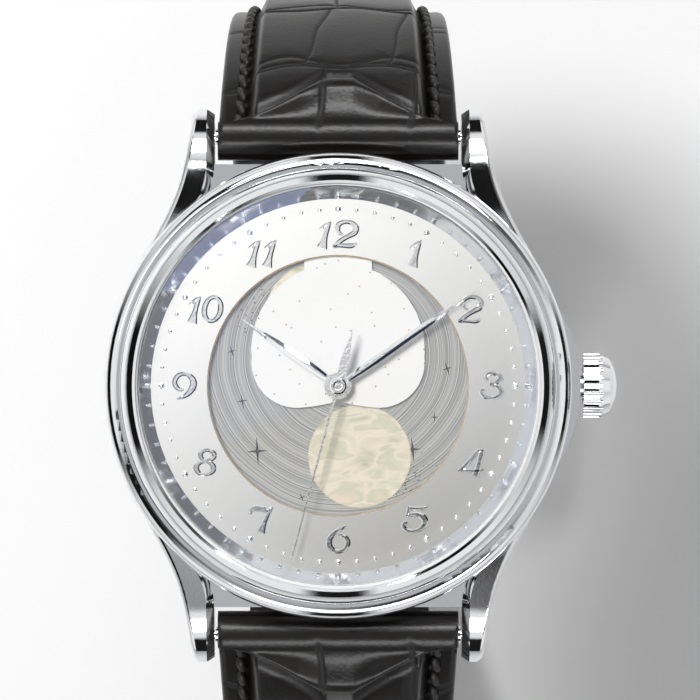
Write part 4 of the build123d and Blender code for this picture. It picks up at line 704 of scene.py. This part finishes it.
@dataclass
class MinuteDots:
    """Sixty polished domes round the dial, the one at each hour larger."""

    radius: float = 15.67
    hour_dot: float = 0.27
    minute_dot: float = 0.18
    sunk: float = 0.01
    rings: int = 5
    sides: int = 16

    def build(self) -> None:
        """Builds the dots as one piece: each is a half sphere, height the cosine and radius the sine of its slope."""
        slope = np.linspace(math.pi / 2, 0.0, self.rings + 1)[:-1, None]
        dome = lathe(np.sin(slope), np.cos(slope), circle(self.sides))
        points = np.vstack((dome.reshape(-1, 3), [[0.0, 0.0, 1.0]]))
        last = (self.rings - 1) * self.sides + np.arange(self.sides)
        cap = np.stack((last, np.roll(last, -1), np.full(self.sides, len(points) - 1)), axis=1)
        minutes = np.arange(60)
        sizes = np.where(minutes % 5 == 0, self.hour_dot, self.minute_dot)
        level = np.full(60, top_of("dial") - self.sunk)
        places = np.column_stack((clock(minutes / 5, self.radius), level))
        every, quads = copies(points, grid_faces(self.rings, self.sides), places, np.zeros(60), sizes)
        _, tips = copies(points, cap, places, np.zeros(60), sizes)
        piece("minute_dots", every, quads.tolist() + tips.tolist(), Look.NUMBER_STEEL, "root", 60)


@dataclass
class HubRing:
    """A turned ring round the pin of the seconds hand."""

    profile: tuple[Pair, ...] = (
        (0.75, -0.02), (0.74, 0.05), (0.62, 0.13), (0.52, 0.13), (0.42, 0.03), (0.26, 0.02), (0.26, -0.02),
    )
    pin_height: float = 0.25
    sides: int = 64

    def build(self) -> None:
        """Turns the profile, given as radius and height over the hand's boss, round the middle of the dial."""
        radius, height = np.array(self.profile).T[:, :, None]
        points = lathe(radius, height + top_of("seconds_hand") - self.pin_height, circle(self.sides))
        faces = grid_faces(len(radius), self.sides, True)
        piece("hub_ring", points, faces, Look.HAND_STEEL, "seconds_train", 20)


@dataclass
class SkyOrnament:
    """Four-point stars and star dust on the moon disc, in a layout of their own."""

    stars: tuple[Triple, ...] = (  # hour, distance from the middle, size
        (7.7, 9.2, 1.3), (4.35, 8.7, 1.15), (8.7, 8.6, 0.75), (9.6, 9.9, 0.6), (2.7, 9.8, 0.7),
        (3.6, 9.0, 0.55), (6.6, 10.4, 0.5), (10.4, 9.4, 0.5), (1.4, 9.7, 0.5), (5.3, 10.2, 0.5),
    )
    relief: float = 0.03
    waist: float = 0.13
    side_ray: float = 0.72
    star_lift: float = 0.004
    dust_lift: float = 0.003
    dust_height: float = 0.5
    star_turn: Pair = (7.0, 25.0)  # degrees for each hour, and where they start over
    seed: int = 7
    cloud_dust: int = 75
    clouds: tuple[tuple[float, ...], ...] = (  # hour and its spread, distance from the middle and its spread
        (10.7, 0.35, 10.2, 0.7), (4.9, 0.3, 10.5, 0.5),
    )
    dust_sizes: Pair = (0.035, 0.07)
    dust_band: Pair = (8.6, 11.3)

    def build(self) -> None:
        """Builds the stars, with a ridge down each ray, and the dust as low discs in two clouds."""
        face = top_of("moon_disc")
        number = np.arange(8)
        reach = np.where(number % 2 == 0, 1.0, self.waist) * np.where(number % 4 == 2, self.side_ray, 1.0)
        rim = np.column_stack((clock(number * 1.5, reach), np.zeros(8)))
        points = np.vstack((rim, [[0.0, 0.0, self.relief]]))
        faces = np.stack((np.full(8, 8), (number + 1) % 8, number), axis=1)
        hours, radii, sizes = np.array(self.stars).T
        places = np.column_stack((clock(hours, radii), np.full(len(hours), face + self.star_lift)))
        rate, limit = self.star_turn
        every, tris = copies(points, faces, places, np.radians(hours * rate % limit), sizes)
        piece("moon_disc_stars", every, tris, Look.STAR, "moon_body", 1)

        draw = np.random.default_rng(self.seed)
        hours = np.concatenate([draw.normal(hour, spread, self.cloud_dust) for hour, spread, _, _ in self.clouds])
        radii = np.concatenate([draw.normal(middle, spread, self.cloud_dust) for _, _, middle, spread in self.clouds])
        disc = np.vstack((lathe(1.0, 0.0, circle(6)), [[0.0, 0.0, self.dust_height]]))
        fan = np.stack((np.arange(6), (np.arange(6) + 1) % 6, np.full(6, 6)), axis=1)
        level = np.full(len(hours), face + self.dust_lift)
        spots = np.column_stack((clock(hours, np.clip(radii, *self.dust_band)), level))
        every, tris = copies(disc, fan, spots, 0 * hours, draw.uniform(*self.dust_sizes, len(hours)))
        piece("moon_disc_star_dust", every, tris, Look.STAR, "moon_body", 60)


@dataclass
class Scales:
    """The layout of the leather's scales: creases across the strap, and others lengthwise between them."""

    creases: tuple[float, ...]
    seed: int
    bows: Pair = (0.8, 1.6)
    bow_reach: float = 9.0
    phases: Pair = (0.0, 6.28)
    wave: float = 0.3
    wave_rate: float = 0.7
    pair_gap: float = 0.75
    pair_wave: float = 0.55
    pair_rate: float = 0.55
    pair_fade: float = 0.05
    columns: Triple = (-6.5, 0.4, 6.8)
    column_spread: float = 1.2
    front_columns: tuple[Triple, ...] = ((-1.7, 6.6, 20.0), (-3.1, 4.6, 20.0))
    drift_spread: float = 0.2
    front_drifts: tuple[Triple, ...] = ((0.08, 0.08, 0.08), (0.22, 0.16, 0.0))
    sway: float = 0.12
    sway_rate: float = 0.9
    crease_width: float = 0.17
    scale_width: float = 0.8

    def field(self, place: Array, x: Array) -> tuple[Array, Array]:
        """Depth of the creases and height of the scales between them.

        Cross creases run in pairs that part and meet, and bow away from the bar; the lengthwise ones differ from
        row to row. A crease's depth falls off as a bell curve of the distance to it, and a scale rises as one less
        such a curve, only wider. The two rows at the front have set columns, one of them off the strap.

        Args:
            place: Distance from the bar at each grid point.
            x: Distance from the middle at each grid point.

        Returns:
            Crease depth and scale height, both 0 to 1.
        """
        draw = np.random.default_rng(self.seed)
        lines = np.array(self.creases)[:, None, None]
        count = len(lines)
        bows = draw.uniform(*self.bows, count)[:, None, None]
        phases = draw.uniform(*self.phases, count)[:, None, None]
        bent = lines - bows * (x / self.bow_reach) ** 2 + self.wave * np.sin(x * self.wave_rate + phases)
        pair = bent + self.pair_gap + self.pair_wave * np.cos(x * self.pair_rate + phases * 2)
        cross = np.minimum(np.abs(place - bent).min(axis=0), np.abs(place - pair).min(axis=0) + self.pair_fade)
        row = (place > bent).sum(axis=0)
        columns = draw.uniform(-self.column_spread, self.column_spread, (count + 1, 3)) + np.array(self.columns)
        columns[:2] = self.front_columns
        drifts = draw.uniform(-self.drift_spread, self.drift_spread, (count + 1, 3))
        drifts[:2] = self.front_drifts
        middle = np.concatenate(([0.0], self.creases))[row]
        sway = self.sway * np.sin(place * self.sway_rate)
        shifted = columns[row] + drifts[row] * (place - middle)[..., None] + sway[..., None]
        nearest = np.minimum(cross, np.abs(x[..., None] - shifted).min(axis=-1))
        return bell(nearest / self.crease_width), 1 - bell(nearest / self.scale_width)


@dataclass
class StrapHalf:
    """One padded leather strap half, with its scales, edges and stitches."""

    name: str
    body: str
    side: int
    length: float
    radius: float
    lean: float
    tip: float
    scales: Scales
    bar_reach: float = 22.4
    bar_height: float = 2.75
    straight: float = 3.0
    width: float = 21.6
    end_width: float = 18.0
    thickness: float = 4.3
    end_thickness: float = 2.4
    taper: float = 45.0
    least_tip: float = 0.02
    top_columns: int = 131
    under_columns: int = 61
    wall_levels: Triple = (0.66, 0.33, 0.0)
    under_width: float = 0.99
    back_rows: int = 11
    near_reach: float = 22.0
    near_step: float = 0.13
    far_step: float = 0.3
    flange: float = 2.3
    flange_blend: float = 1.2
    edge_share: float = 0.05
    pad_crown: float = 0.45
    pad_start: float = 3.0
    fold_reach: float = 4.9
    fold_edge: float = 0.3
    fold_flat: float = 1.3
    fold_run: float = 8.9
    fold_curve: float = 1.8
    fold_depth: float = 0.5
    fold_slopes: Pair = (0.8, 0.3)
    fold_margin: float = 1.2
    # how much painted shade the fold gets
    fold_shade: float = 0.5
    front_blend: float = 0.7
    front_bulge: float = 0.95
    crease_depth: float = 0.13
    scale_height: float = 0.07
    flange_relief: float = 0.4
    relief_margin: float = 0.5
    relief_start: Pair = (-1.5, 0.5)
    edge_radius: float = 0.6
    edge_drop: float = 0.35
    end_roll: float = 1.2
    slot_width: float = 4.0
    slot_length: float = 4.5
    slot_round: float = 0.6
    stitch_inset: float = 1.9
    stitch_pitch: float = 1.75
    stitch_start: float = 1.5
    tip_margin: float = 4.5
    buckle_margin: float = 6.0
    stitch_lift: float = 0.12
    stitch_half: float = 0.56
    stitch_bow: float = 0.24
    stitch_sink: float = 0.16
    stitch_slant: float = 0.2
    stitch_end: float = 0.02
    stitch_grid: tuple[int, int] = (9, 8)  # rings and sides of one stitch
    thread_radius: float = 0.4

    def carrier(self, place: Array) -> tuple[Array, Array, Array]:
        """Centre line at a distance from the spring bar: a short straight, then an arc.

        Args:
            place: Distances from the bar, in millimetres.

        Returns:
            Centres, directions out of the strap and directions along it, each (n, 2) in Y and Z.
        """
        start = math.radians(-self.lean)
        run = np.minimum(place, self.straight)
        turned = start - np.maximum(place - self.straight, 0) / self.radius
        reach = self.bar_reach + run * math.cos(start) + self.radius * (math.sin(start) - np.sin(turned))
        height = self.bar_height + run * math.sin(start) + self.radius * (np.cos(turned) - math.cos(start))
        outward = np.stack((-self.side * np.sin(turned), np.cos(turned)), axis=-1)
        along = np.stack((outward[:, 1], -outward[:, 0]), axis=-1) * self.side
        return np.stack((self.side * reach, height), axis=-1), outward, along

    def size(self, place: Array) -> tuple[Array, Array]:
        """Half width and thickness: both taper evenly, and the tip closes in a half ellipse."""
        share = part(place, self.taper)
        half = (self.width + (self.end_width - self.width) * share) / 2
        if self.tip:
            half = half * np.maximum(roundel(part(place - self.length + self.tip, self.tip)), self.least_tip)
        return half, self.thickness + (self.end_thickness - self.thickness) * share

    def fold(self, x: Array) -> Array:
        """Where the padded front ends in a fold: far from the bar in the middle, near it at both edges."""
        share = part(np.abs(x) - self.fold_flat, self.fold_run)
        return self.fold_edge + (self.fold_reach - self.fold_edge) * (1 - share) ** self.fold_curve

    def relief(self, s: Array, x: Array, half: Array, thick: Array) -> tuple[Array, Array]:
        """Height of the strap's face over its middle layer, and how deep in a crease each point lies.

        The height rises from the thin edge to the padded crown as a smooth step of the distance from the edge, and
        the front is padded up to its fold. Creases, scales, the fold and the rounded edge are added to it.

        Args:
            s: Distance from the bar at each grid point.
            x: Distance from the middle at each grid point.
            half: Half width of each row, (n, 1).
            thick: Thickness of each row, (n, 1).

        Returns:
            Height in millimetres, and crease depth from 0 to 1, which also carries the fold's painted shade.
        """
        gap = half - np.abs(x)
        fold = self.fold(x)
        behind = s - fold
        front = smooth(np.clip(0.5 - behind / self.front_blend, 0, 1))
        pad = np.maximum(smooth(part(gap - self.flange, self.flange_blend)), front)
        if self.tip:
            pad = pad * (1 - part(s - self.length + self.tip, self.tip) ** 2)
        edge = self.edge_share * thick
        bulge = self.front_bulge * np.sin(np.pi * part(s, np.maximum(fold, 1.0)) ** 2) * part(fold, self.pad_start)
        crown = self.pad_crown * pad * (1 - (x / half) ** 2) * part(s, self.pad_start)
        height = edge + (thick / 2 - edge) * pad + crown + bulge
        depth, scale = self.scales.field(s, x)
        start, full = self.relief_start
        shown = part(gap, self.relief_margin) * part(s - start, full - start)
        carved = self.scale_height * scale - self.scale_height - self.crease_depth * depth
        height = height + shown * carved * (self.flange_relief + (1 - self.flange_relief) * pad)
        after, before = self.fold_slopes
        folded = bell(np.maximum(behind, 0) / after + np.maximum(-behind, 0) / before)
        height = height - self.fold_depth * folded * part(gap, self.fold_margin) * np.clip(s, 0, 1)
        height = height - self.edge_drop * (1 - roundel(1 - part(gap, self.edge_radius)))
        return height, np.maximum(depth, folded * self.fold_shade) * shown

    def surface(self) -> tuple[Array, Array]:
        """The strap's grid of points, closed round its section, and the crease value of each.

        Near the bar the whole section becomes a half roll round it. At the buckle the strap ends in a roll too,
        and the middle columns stop short and close, which leaves the slot for the tang.
        """
        back = np.linspace(-self.thickness / 2, 0, self.back_rows, endpoint=False)
        end = self.length if self.tip else self.length + self.end_roll
        near = np.linspace(0, self.near_reach, int(self.near_reach / self.near_step))
        far = np.linspace(self.near_reach, end, int((end - self.near_reach) / self.far_step))[1:]
        place = np.concatenate((back, near, far))
        wall, under = np.array(self.wall_levels), np.linspace(self.under_width, -self.under_width, self.under_columns)
        flank = np.ones(len(wall))
        across = np.concatenate((np.linspace(-1, 1, self.top_columns), flank, under, -flank))
        level = np.concatenate((np.ones(self.top_columns), wall, 0 * under, wall[::-1]))
        top = np.arange(len(across)) < self.top_columns
        half, thick = (value[:, None] for value in self.size(np.maximum(place, 0)))
        x = across * half
        s = place[:, None] + 0 * x
        height, crease = self.relief(s, x, half, thick)
        z = np.where(top, height, (height[:, :1] + thick / 2) * level - thick / 2)
        z = z * roundel(np.minimum(s, 0) / (self.thickness / 2))
        slot, slot_end = np.zeros(s.shape, dtype=bool), end - self.slot_length
        if not self.tip:
            z = z * roundel(part(s - self.length, self.end_roll))
            slot = (np.abs(x) < self.slot_width / 2) & (s > slot_end)
            z = np.where(slot, z * (1 - part(s - slot_end, self.slot_round)), z)
        centre, outward, along = self.carrier(place)
        base = np.where(place[:, None] < 0, self.carrier(np.zeros(1))[0] + along * place[:, None], centre)
        slot_base, slot_outward, _ = self.carrier(np.minimum(place, slot_end))
        bases = np.where(slot[:, :, None], slot_base[:, None, :], base[:, None, :])
        ways = np.where(slot[:, :, None], slot_outward[:, None, :], outward[:, None, :])
        return np.concatenate((x[:, :, None], bases + ways * z[:, :, None]), axis=2), np.where(top, crease, 0.0)

    def stitches(self) -> None:
        """Builds the stitch rows: each stitch is a bowed capsule that lies between two needle holes."""
        margin = self.tip_margin if self.tip else self.buckle_margin
        row = np.arange(self.stitch_start, self.length - margin, self.stitch_pitch)
        inset = self.size(row)[0] - self.stitch_inset
        place = np.concatenate((row, row))
        centre, outward, along = (np.column_stack((0 * place, value)) for value in self.carrier(place))
        lift = self.edge_share * self.size(place)[1] + self.stitch_lift
        at = centre + outward * lift[:, None]
        at[:, 0] = np.concatenate((-inset, inset))
        rings, sides = self.stitch_grid
        t, turn = np.linspace(-1, 1, rings)[:, None], circle(sides)[None, :]
        thin = np.sqrt(np.clip(1 - np.abs(t) ** 3, self.stitch_end, 1)) * self.thread_radius
        lengthwise = t * self.stitch_pitch * self.stitch_half + 0 * turn
        sideways = thin * np.cos(turn) + self.stitch_slant * t
        upwards = thin * np.sin(turn) + self.stitch_bow * (1 - t**2) - self.stitch_sink
        local = np.stack((lengthwise, sideways, upwards), axis=-1).reshape(-1, 3)
        ways = np.stack((along, np.cross(outward, along), outward), axis=1)
        every = at[:, None, :] + local @ ways
        first = (np.arange(len(at)) * len(local))[:, None]
        quads = (grid_faces(rings, sides)[None, :, ::-1] + first[:, :, None]).reshape(-1, 4)
        foot, head = first + np.arange(sides), first + len(local) - 1 - np.arange(sides)
        faces = quads.tolist() + foot.tolist() + head.tolist()
        piece(self.name + "_stitches", every, faces, Look.THREAD, self.body, 60)

    def build(self) -> None:
        """Builds the leather and its stitches; the leather replaces the CAD's plain strap half."""
        grid, crease = self.surface()
        faces = tube_faces(*crease.shape)
        made = piece(self.name + "_leather", grid, faces, Look.LEATHER, self.body, 50)
        # the crease value sets where the leather's painted shade goes
        attribute = made.data.attributes.new("crease", "FLOAT", "POINT")
        attribute.data.foreach_set("value", crease.reshape(-1).astype(np.float32))
        if self.side < 0:
            made.data.flip_normals()
        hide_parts(self.name)
        self.stitches()


@dataclass
class Keeper:
    """A leather loop round the strap: a flat band with rounded edges, carried round a rounded rectangle."""

    name: str
    body: str
    place: float
    strap: StrapHalf
    width: float = 5.0
    wall: float = 1.1
    wall_share: float = 0.95
    drop: float = 2.5
    rise: float = 3.0
    clearance: float = 0.3
    corner: float = 0.28
    band_corner: float = 0.3
    wall_corner: float = 0.7
    path_points: int = 96
    section_points: int = 24

    def squared(self, wave: Array, power: float) -> Array:
        """A cosine or a sine taken to a power with its sign kept, which squares a circle's corners."""
        return np.sign(wave) * np.abs(wave) ** power

    def build(self) -> None:
        """Builds the loop and lets it replace the CAD's square one."""
        place = np.array([self.place])
        reach = float(self.strap.size(place)[0][0]) + self.clearance + self.wall / 2
        tall = (self.rise + self.drop + self.wall) / 2
        turn, ring = circle(self.path_points), circle(self.section_points)
        aside = reach * self.squared(np.cos(turn), self.corner)
        upward = (self.rise - self.drop) / 2 + tall * self.squared(np.sin(turn), self.corner)
        path = np.stack((aside, upward), axis=1)
        way = np.roll(path, -1, axis=0) - np.roll(path, 1, axis=0)
        way /= np.linalg.norm(way, axis=1, keepdims=True)
        normal = np.stack((way[:, 1], -way[:, 0]), axis=1)
        band = self.squared(np.cos(ring), self.band_corner) * self.width / 2
        thick = self.squared(np.sin(ring), self.wall_corner) * self.wall / 2 * self.wall_share
        flat = path[:, None, :] + normal[:, None, :] * thick[None, :, None]
        origin, out, along = (np.array([0.0, *value[0]]) for value in self.strap.carrier(place))
        grid = origin + flat[:, :, :1] * np.array([1.0, 0.0, 0.0]) + flat[:, :, 1:] * out + band[None, :, None] * along
        faces = grid_faces(len(turn), len(ring), True)
        made = piece(self.name + "_leather", grid, faces, Look.LEATHER, self.body, 40)
        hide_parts(self.name)


@dataclass
class Studio:
    """Camera, pale floor, soft lamps, and cards that only the polished steel and the dial see."""

    span: float = 62.5
    distance: float = 560.0
    aim: Pair = (1.07, 3.2)
    dial_height: float = 6.9
    sensor: float = 36.0
    clip_m: Pair = (0.01, 20.0)
    floor_gap: float = 0.5
    floor_reach_m: float = 3.0
    world_light: float = 0.38
    low_ring: Ring = (  # compass direction in degrees, and grey level from 0 to 255
        (-180, 14), (-163, 20), (-150, 225), (-130, 252), (-101, 250), (-96, 28), (-84, 24), (-79, 250), (-45, 250),
        (-22, 200), (-12, 22), (14, 30), (26, 225), (60, 254), (79, 250), (84, 26), (96, 24), (101, 250), (135, 250),
        (150, 190), (164, 16), (180, 14),
    )
    middle_ring: Ring = (
        (-180, 252), (-166, 250), (-156, 24), (-139, 18), (-128, 200), (-90, 246), (-72, 190), (-62, 16), (-50, 22),
        (-38, 225), (-15, 252), (16, 252), (32, 120), (46, 60), (58, 205), (84, 250), (104, 215), (114, 14),
        (131, 16), (144, 215), (168, 252), (180, 252),
    )
    high_ring: Ring = (
        (-180, 250), (-160, 200), (-150, 40), (-136, 60), (-122, 150), (-98, 170), (-80, 60), (-62, 30), (-48, 120),
        (-24, 215), (0, 252), (24, 225), (44, 150), (66, 80), (78, 18), (104, 14), (118, 45), (138, 150), (160, 235),
        (180, 250),
    )
    overhead: str = "bcbdc0"
    ring_steps: tuple[Pair, ...] = ((0.5, 0.58), (0.9, 0.93), (0.988, 0.997))
    sky_axis: Triple = (-0.87, 0.5, 0.0)
    dial_cards: Stops = (
        (0.0, "3a3b3e"), (0.14, "08080a"), (0.452, "0c0d0f"), (0.48, "7c7d80"), (0.505, "ffffff"), (1.0, "eceef0"),
    )
    flat_axis: Triple = (-0.54, 0.84, 0.0)
    flat_lean: float = 0.1
    flat_cards: Stops = ((0.4, "000000"), (0.5725, "ffffff"))
    flat_strength: float = 1.35
    flat_step: Pair = (0.985, 0.995)

    def camera(self) -> None:
        """Places the camera square above the dial, with a long lens that takes in span millimetres."""
        data = bpy.data.cameras.new("camera")
        data.sensor_width = self.sensor
        data.lens = self.sensor * self.distance / self.span
        data.clip_start, data.clip_end = self.clip_m
        made = link("camera", data)
        made.location = (self.aim[0] * MM, self.aim[1] * MM, (self.dial_height + self.distance) * MM)
        bpy.context.scene.camera = made

    def floor(self) -> None:
        """Lays a pale floor just under the lowest point of the strap."""
        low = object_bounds()[0][2] - self.floor_gap * MM
        mesh = bpy.data.meshes.new("floor")
        far = self.floor_reach_m
        mesh.from_pydata([(-far, -far, low), (far, -far, low), (far, far, low), (-far, far, low)], [], [[0, 1, 2, 3]])
        made = link("floor", mesh)
        mesh.materials.append(FloorPaper("white_paper_floor", "fdfdfd", 0.0, 0.9).material())
        made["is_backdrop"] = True

    def lamp(self, name: str, place: Triple, size: Pair, power: float, mirrored: bool) -> None:
        """Adds a soft rectangular lamp that points at the dial.

        Args:
            name: The lamp's name.
            place: Where it hangs, in metres.
            size: Its sides, in metres.
            power: Its power, in watts.
            mirrored: Whether it only gives highlights; one that isn't mirrored only gives light.
        """
        data = bpy.data.lights.new(name, "AREA")
        data.shape = "RECTANGLE"
        data.size, data.size_y = size
        data.energy = power
        made = link(name, data)
        made.location = place
        made.rotation_euler = made.location.to_track_quat("Z", "Y").to_euler()
        made.visible_camera = False
        made.visible_glossy = mirrored
        made.visible_diffuse = not mirrored

    def reflections(self, tree: Tree) -> Node:
        """What polished metal sees of the studio: three rings of white and black cards, and a pale one overhead.

        The height of the ray picks the ring, its compass direction the card. What lies under the crystal sees
        one white and one dark card instead, which meet overhead; close to the vertical they part another way,
        which shades the flat dial.
        """
        away = node(tree, "TexCoord").outputs["Generated"]
        parts = node(tree, "SeparateXYZ", {"Vector": away}).outputs
        angle = node(tree, "Math", {0: parts["Y"], 1: parts["X"]}, operation="ARCTAN2")
        turn = node(tree, "MapRange", {"Value": angle, "From Min": -math.pi, "From Max": math.pi})
        rings = []
        for cards in (self.low_ring, self.middle_ring, self.high_ring):
            stops = tuple(((degrees + 180) / 360, f"{grey:02x}" * 3) for degrees, grey in cards)
            rings.append(node(tree, "ValToRGB", {"Fac": turn}, stops))
        shades = []
        under_glass = ((self.sky_axis, 1.0, self.dial_cards), (self.flat_axis, self.flat_lean, self.flat_cards))
        for axis, most, cards in under_glass:
            lean = node(tree, "VectorMath", {0: away, 1: axis}, operation="DOT_PRODUCT")
            share = node(tree, "MapRange", {"Value": lean, "From Min": -most, "From Max": most})
            shades.append(node(tree, "ValToRGB", {"Fac": share}, cards))
        flat = node(tree, "VectorMath", {0: shades[1], "Scale": self.flat_strength}, operation="SCALE")
        shown, under = rings[0], shades[0]
        for (low, high), colour in zip(self.ring_steps, (*rings[1:], linear(self.overhead))):
            step = node(tree, "MapRange", {"Value": parts["Z"], "From Min": low, "From Max": high})
            shown = node(tree, "Mix", {"Factor": step, MIX_A: shown, MIX_B: colour}, data_type="RGBA")
        low, high = self.flat_step
        step = node(tree, "MapRange", {"Value": parts["Z"], "From Min": low, "From Max": high})
        under = node(tree, "Mix", {"Factor": step, MIX_A: under, MIX_B: flat}, data_type="RGBA")
        depth = node(tree, "LightPath").outputs["Transparent Depth"]
        passed = node(tree, "Math", {0: depth, 1: 0.5}, operation="GREATER_THAN")
        return node(tree, "Mix", {"Factor": passed, MIX_A: shown, MIX_B: under}, data_type="RGBA")

    def world(self) -> None:
        """Lights evenly, shows white to the camera and through glass, and cards to what reflects."""
        world = bpy.data.worlds.new("world")
        bpy.context.scene.world = world
        world.use_nodes = True
        tree = world.node_tree
        tree.nodes.clear()
        white = linear("ffffff")
        light = node(tree, "Background", {"Color": white, "Strength": self.world_light})
        seen = node(tree, "Background", {"Color": white, "Strength": 1.0})
        cards = node(tree, "Background", {"Color": self.reflections(tree), "Strength": 1.0})
        path = node(tree, "LightPath").outputs
        shiny = node(tree, "MixShader", {0: path["Is Glossy Ray"], 1: light, 2: cards})
        mixed = node(tree, "MixShader", {0: path["Is Camera Ray"], 1: shiny, 2: seen})
        node(tree, "OutputWorld", {"Surface": mixed})

    def build(self) -> None:
        """Builds the whole studio."""
        self.camera()
        self.floor()
        self.world()
        self.lamp("key_softbox", (-0.187, 0.146, 0.411), (0.15, 0.15), 2.05, False)
        self.lamp("far_strip", (0.05, 0.4, 0.5), (0.5, 0.16), 3.0, True)
        self.lamp("near_strip", (0.05, -0.4, 0.5), (0.5, 0.16), 2.0, True)
        self.lamp("edge_strip", (-0.1265, 0.1795, 0.603), (0.4, 0.028), 0.14, True)
        bpy.context.scene.view_settings.view_transform = "Standard"


def dress_nodes() -> None:
    """Gives every CAD node the material of its finish."""
    for look, names in NODE_LOOKS.items():
        for name in names.split():
            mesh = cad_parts[name].data
            mesh.materials.clear()
            mesh.materials.append(material(look))


def main() -> None:
    """Builds the studio and every piece."""
    logging.basicConfig(level=logging.INFO, format="%(name)s: %(message)s")
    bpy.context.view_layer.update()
    Studio().build()
    dress_nodes()
    short_scales = Scales((6.6, 17.0, 27.5, 37.5, 47.0, 55.5, 63.5, 70.5), 3)
    long_scales = Scales((7.0, 17.5, 28.0, 38.5, 48.5, 58.0, 67.0, 76.0, 85.0, 94.0, 102.0, 109.0), 8)
    short = StrapHalf("strap_short", "strap_short_body", 1, 75.0, 30.5, 42.0, 0.0, short_scales)
    long = StrapHalf("strap_long", "strap_long_body", -1, 118.0, 42.0, 38.0, 9.0, long_scales)
    short.build()
    long.build()
    Keeper("fixed_keeper", "strap_short_body", 65.5, short).build()
    Keeper("sliding_keeper", "keeper_body", 58.0, short).build()
    HourNumbers().build()
    MinuteDots().build()
    HubRing().build()
    SkyOrnament().build()


if __name__ == "__main__":
    main()
